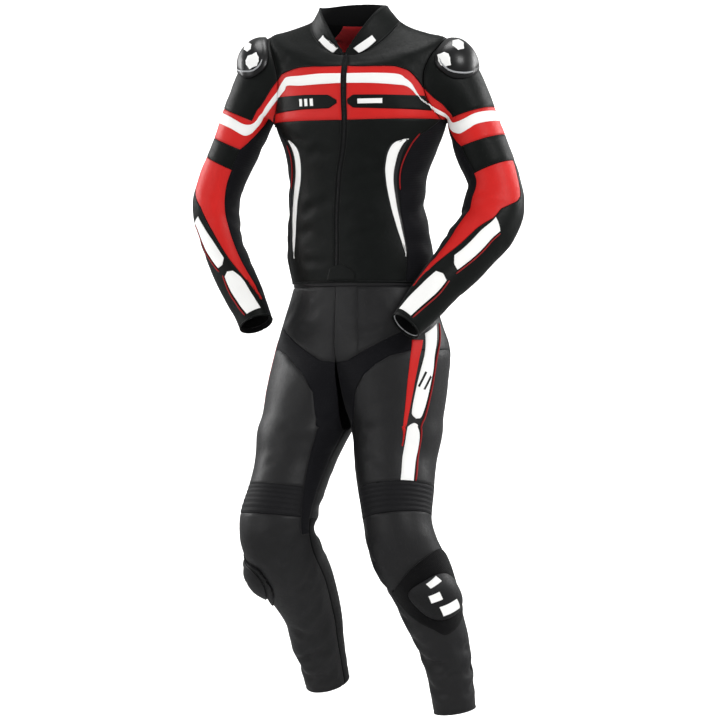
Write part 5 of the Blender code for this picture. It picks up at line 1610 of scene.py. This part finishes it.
def dome_surface(dome):
    kind = dome.tube.split("_")[0]

    def points(places):
        x, y = places.T
        here = crown_point(dome, x, y)
        beside, above = crown_point(dome, x + DOME_STEP, y), crown_point(dome, x, y + DOME_STEP)
        out = unit(np.cross(beside - here, above - here))
        up = here - over_tube(dome, x, y, 0 * x)
        return here, np.where(dot(out, up) > 0, out, -out)

    return Surface(points, np.array([dome.reach[0] * TUBE_ROUND[kind] / 360, dome.reach[1] * TUBE_ROW[kind]]))


print("cup reach, degrees and rows:", CUP_REACH)

# %% The dome as a closed mesh of rings
SPOKES, CROWN_RINGS, BASE_RINGS = 72, 22, 6
RIM_RINGS = ((1.012, 0.7), (1.016, 0.35), (1.005, 0))


def hard_shell(name, dome, finish, node):
    turn = np.linspace(0, 2 * math.pi, SPOKES, endpoint=False)
    s, c = np.sin(turn), np.cos(turn)
    round_off = (np.abs(s) ** CORNER_POWER + np.abs(c) ** CORNER_POWER) ** (-1 / CORNER_POWER)
    x, y = c * round_off, s * round_off
    shares = np.linspace(0, 1, CROWN_RINGS + 1)[1:]
    rings = [crown_point(dome, x * share, y * share) for share in shares]
    for share, height in RIM_RINGS:
        rings.append(over_tube(dome, x * share, y * share, np.full(SPOKES, dome.rest + DOME_EDGE * height)))
    for share in np.linspace(1, 0, BASE_RINGS + 1)[1:-1]:
        rings.append(over_tube(dome, x * share, y * share, np.full(SPOKES, dome.rest)))
    middle = np.zeros(1)
    tips = crown_point(dome, middle, middle), over_tube(dome, middle, middle, middle + dome.rest)
    points = np.concatenate([*rings, *tips])
    last, top, base = len(rings) - 1, len(points) - 2, len(points) - 1
    faces = []
    for i in range(SPOKES):
        j = (i + 1) % SPOKES
        for k in range(0, last * SPOKES, SPOKES):
            faces.append((k + i, k + j, k + SPOKES + j, k + SPOKES + i))
        faces += [(top, j, i), (last * SPOKES + i, last * SPOKES + j, base)]
    return hand_over(closed_piece(name, points, faces, finish), [node])


print("points round a dome:", SPOKES)

# %% The shoulder cups, each with two plain white inserts and a grey arc
CUP_INSERTS = {
    1: ((((0.34, -0.62), (0.26, -0.12)), ((-0.12, -0.60), (-0.18, 0.02))),
        (((-0.46, -0.72), (-0.45, -0.36), (-0.56, 0.02)), ((-0.80, -0.70), (-0.90, -0.24), (-0.84, 0.20)))),
    -1: ((((0.36, -0.10), (-0.10, 0.08)), ((0.10, -0.42), (-0.32, -0.20))),
         (((-0.64, 0.46), (-0.38, 0.12), (-0.34, -0.26)), ((-0.86, 0.16), (-0.80, -0.22), (-0.52, -0.54)))),
}
CUP_INSERT_ENDS, INSERT_LIFT, ARC_REACH = (0.002, 0.007), 0.0006, 0.93 * 0.94
for side, word in SIDES.items():
    cup = Dome(f"sleeve_{word}", CUP_MIDDLE, CUP_REACH, 0, CUP_RISE, HARD_REST, CUP_CHANNEL)
    hard_shell(f"shoulder_cup_{word}_shell", cup, "hard_black", f"shoulder_cup_{word}")
    surface = dome_surface(cup)
    for kind, lines, end in zip(("upper", "oval"), CUP_INSERTS[side], CUP_INSERT_ENDS):
        patch(f"cup_insert_{word}_{kind}", surface, *lines, "insert_white", lift=INSERT_LIFT, ends=(end, end),
              slot="hard_black")
    arc = [(ARC_REACH * math.cos(a), ARC_REACH * math.sin(a)) for a in np.radians(range(95, 216, 12))]
    piping(f"cup_arc_{word}", surface, arc, "rim_grey", radius=0.0018, height=0.0004)
print("pieces so far:", len(PIECES))

# %% The knees: a hook tape pad, the slider on it, and three plain plates on the slider
PADS = {
    1: (((-116, 9.76), (-58.2, 9.32), (-1.2, 9.31), (27, 9.71), (30.5, 10.2)),
        ((-119.5, 9.89), (-103, 10.49), (-64.2, 11.1), (-46.8, 11.38), (-10, 11.34), (29, 11.06))),
    -1: (((-90, 9.36), (-84, 9.12), (-51.8, 9.0), (18, 8.85), (27, 9.0)),
         ((-91.5, 9.5), (-82, 9.9), (-66, 10.2), (-48, 10.42), (-20, 10.6), (28, 10.6))),
}
PLATE_LIFT, PLATE_WALL = 0.0005, 0.001
PLATES = (
    (((-0.02, -0.90), (0.46, -0.94)), ((-0.06, -0.66), (0.40, -0.68))),
    (((-0.32, -0.44), (0.04, -0.42)), ((-0.44, -0.12), (-0.08, -0.10))),
    (((-0.36, 0.14), (0.28, 0.20)), ((-0.50, 0.66), (0.22, 0.74))),
)
for side, word in SIDES.items():
    leg = SURFACES[f"leg_{word}"]
    patch(f"knee_pad_{word}_plate", leg, *PADS[side], "hook_pad", [f"knee_pad_{word}"], lift=SEAM + PAD_WALL,
          wall=PAD_WALL)
    slider = Dome(f"leg_{word}", SLIDER_MIDDLE[side], SLIDER_REACH, SLIDER_SKEW, SLIDER_RISE,
                  PAD_WALL + SEAM + HARD_REST, 0.0)
    hard_shell(f"knee_slider_{word}_shell", slider, "slider_grey", f"knee_slider_{word}")
    for index, lines in enumerate(PLATES):
        patch(f"knee_plate_{word}_{index}", dome_surface(slider), *lines, "insert_white", lift=PLATE_LIFT,
              wall=PLATE_WALL, slot="slider_grey")
print("pieces so far:", len(PIECES))

# %% [markdown]
# ## Edges
# The cuffs and the hems are bound, and a facing shows inside the cuffs. A small leather tab covers the foot
# of the zip.

# %% Bind the open edges. A facing has its depth inside the cuff, in rows, and its finish
# The left cuff's facing is light grey, a painted highlight for the thin light line along that cuff's edge;
# the right cuff's facing is black
FACINGS = {1: (0.06, "rim_grey"), -1: (0.3, "hard_black")}
SLEEVE_START, BODY_START = -170, -178


def bind(name, surface, start, row, slot, finish=None, radius=0.0017, height=-0.0009):
    ring = [(start + turn, row) for turn in range(0, 361, 15)]
    piping(name, surface, ring, finish or slot, radius, height)


for side, word in SIDES.items():
    arm, leg = SURFACES[f"sleeve_{word}"], SURFACES[f"leg_{word}"]
    end, (depth, finish) = len(SLEEVE[side]), FACINGS[side]
    bind(f"cuff_binding_{word}", arm, SLEEVE_START, end, "jacket_leather")
    bind(f"cuff_facing_{word}", arm, SLEEVE_START, end - depth, "jacket_leather", finish, 0.0011, -0.0031)
    bind(f"hem_binding_{word}", leg, SLEEVE_START, SHIN_ROWS[-1], "leather")
bind("jacket_hem_binding", body, BODY_START, 0, "jacket_leather")
bind("collar_binding", body, BODY_START, RIM, "jacket_leather", radius=0.0018, height=-0.0012)
patch("zip_tab", body, [(-5.2, 0.5), (4.5, 0.64), (15.2, 0.35)], [(-8, 0.04), (5, 0.04), (16.8, 0.04)],
      "jacket_leather")
print("pieces so far:", len(PIECES))

# %% [markdown]
# ## Stitches and zip teeth
# A lockstitch in bonded nylon runs along every turned edge, about 2 mm in and 4 mm long. Teeth of the main
# zip are moulded on its tape, 2.5 mm apart. Both repeat hundreds of times, so Geometry Nodes place them on
# lines.

# %% One node group puts small forms along lines
LINE_INPUTS = (("Pitch", "NodeSocketFloat"), ("Size", "NodeSocketVector"), ("Finish", "NodeSocketMaterial"))


def line_group():
    group = bpy.data.node_groups.new("forms_along_lines", "GeometryNodeTree")
    sockets = group.interface
    sockets.new_socket("Lines", in_out="INPUT", socket_type="NodeSocketGeometry")
    for name, kind in LINE_INPUTS:
        sockets.new_socket(name, in_out="INPUT", socket_type=kind)
    sockets.new_socket("Forms", in_out="OUTPUT", socket_type="NodeSocketGeometry")

    def node(kind, links=(), **settings):
        made = group.nodes.new(kind)
        for name, value in settings.items():
            setattr(made, name, value)
        for name, source in dict(links).items():
            if isinstance(source, bpy.types.NodeSocket):
                group.links.new(source, made.inputs[name])
            else:
                made.inputs[name].default_value = source
        return made

    given = node("NodeGroupInput").outputs
    curve = node("GeometryNodeMeshToCurve", {"Mesh": given["Lines"]}).outputs["Curve"]
    even = node("GeometryNodeResampleCurve", {
        "Curve": curve, "Length": given["Pitch"]}, mode="LENGTH").outputs["Curve"]
    ball = node("GeometryNodeMeshIcoSphere", {"Radius": 0.5, "Subdivisions": 1}).outputs["Mesh"]
    form = node("GeometryNodeTransform", {"Geometry": ball, "Scale": given["Size"]}).outputs["Geometry"]
    along = node("GeometryNodeInputTangent").outputs["Tangent"]
    out = node("GeometryNodeInputNamedAttribute", {
        "Name": "out"}, data_type="FLOAT_VECTOR").outputs["Attribute"]
    first = node("FunctionNodeAlignRotationToVector", {"Vector": along}, axis="X").outputs["Rotation"]
    turn = node("FunctionNodeAlignRotationToVector", {
        "Rotation": first, "Vector": out}, axis="Z", pivot_axis="X").outputs["Rotation"]
    placed = node("GeometryNodeInstanceOnPoints", {
        "Points": even, "Instance": form, "Rotation": turn}).outputs["Instances"]
    real = node("GeometryNodeRealizeInstances", {"Geometry": placed}).outputs["Geometry"]
    soft = node("GeometryNodeSetShadeSmooth", {"Geometry": real}).outputs["Geometry"]
    dressed = node("GeometryNodeSetMaterial", {
        "Geometry": soft, "Material": given["Finish"]}).outputs["Geometry"]
    node("NodeGroupOutput", {"Forms": dressed})
    return group


LINE_GROUP = line_group()
print("nodes in the group:", len(LINE_GROUP.nodes))

# %% Place forms along lines and keep them as a mesh


def forms_on_lines(name, points, edges, outs, pitch, size, finish):
    mesh = bpy.data.meshes.new(name + "_lines")
    mesh.from_pydata(points, edges, [])
    out = mesh.attributes.new("out", "FLOAT_VECTOR", "POINT")
    out.data.foreach_set("vector", np.array(outs, float).ravel())
    lines = add_object(name + "_lines", mesh)
    modifier = lines.modifiers.new("forms", "NODES")
    modifier.node_group = LINE_GROUP
    values = {"Pitch": pitch, "Size": size, "Finish": FINISHES[finish]}
    for item in LINE_GROUP.interface.items_tree:
        if item.name in values:
            modifier[item.identifier] = values[item.name]
    shown = lines.evaluated_get(bpy.context.evaluated_depsgraph_get())
    made = add_object(name, bpy.data.meshes.new_from_object(shown))
    made.data.name = name
    bpy.data.objects.remove(lines)
    return hand_over(made)


STITCH_PITCH, STITCH_SIZE, STITCH_LIFT = 0.0042, (0.0030, 0.0008, 0.0007), 0.0001
THREADS = {"leather": "thread_dark", "jacket_leather": "thread_dark", "red_leather": "thread_red"}
for finish, thread in THREADS.items():
    kept, edges, index = SEAM_LINES[finish]
    order = sorted(index, key=index.get)
    points = [tuple(kept[key][0] + kept[key][1] * STITCH_LIFT) for key in order]
    outs = [tuple(kept[key][1]) for key in order]
    made = forms_on_lines(
        f"stitches_{finish}", points, edges, outs, STITCH_PITCH, STITCH_SIZE, thread)
    print(made.name, len(made.data.polygons), "faces")

# %% The zip's two rows of teeth
TOOTH_PITCH, TOOTH_SIZE, ZIP_POINTS = 0.0026, (0.0015, 0.0042, 0.0022), 240
for word, around, foot in (("left", 0.35, 0.05), ("right", -0.35, 0.075)):
    points, outs = skin("body", np.full(ZIP_POINTS, around), np.linspace(foot, NECK - 0.1, ZIP_POINTS))
    points = points - outs * ZIP_SINK
    edges = [(i, i + 1) for i in range(ZIP_POINTS - 1)]
    forms_on_lines(f"zip_teeth_{word}", points.tolist(), edges, outs, TOOTH_PITCH, TOOTH_SIZE, "zip_black")
print("pieces in all:", len(PIECES))
print("faces in all:", sum(len(piece.data.polygons) for piece in PIECES.values()))
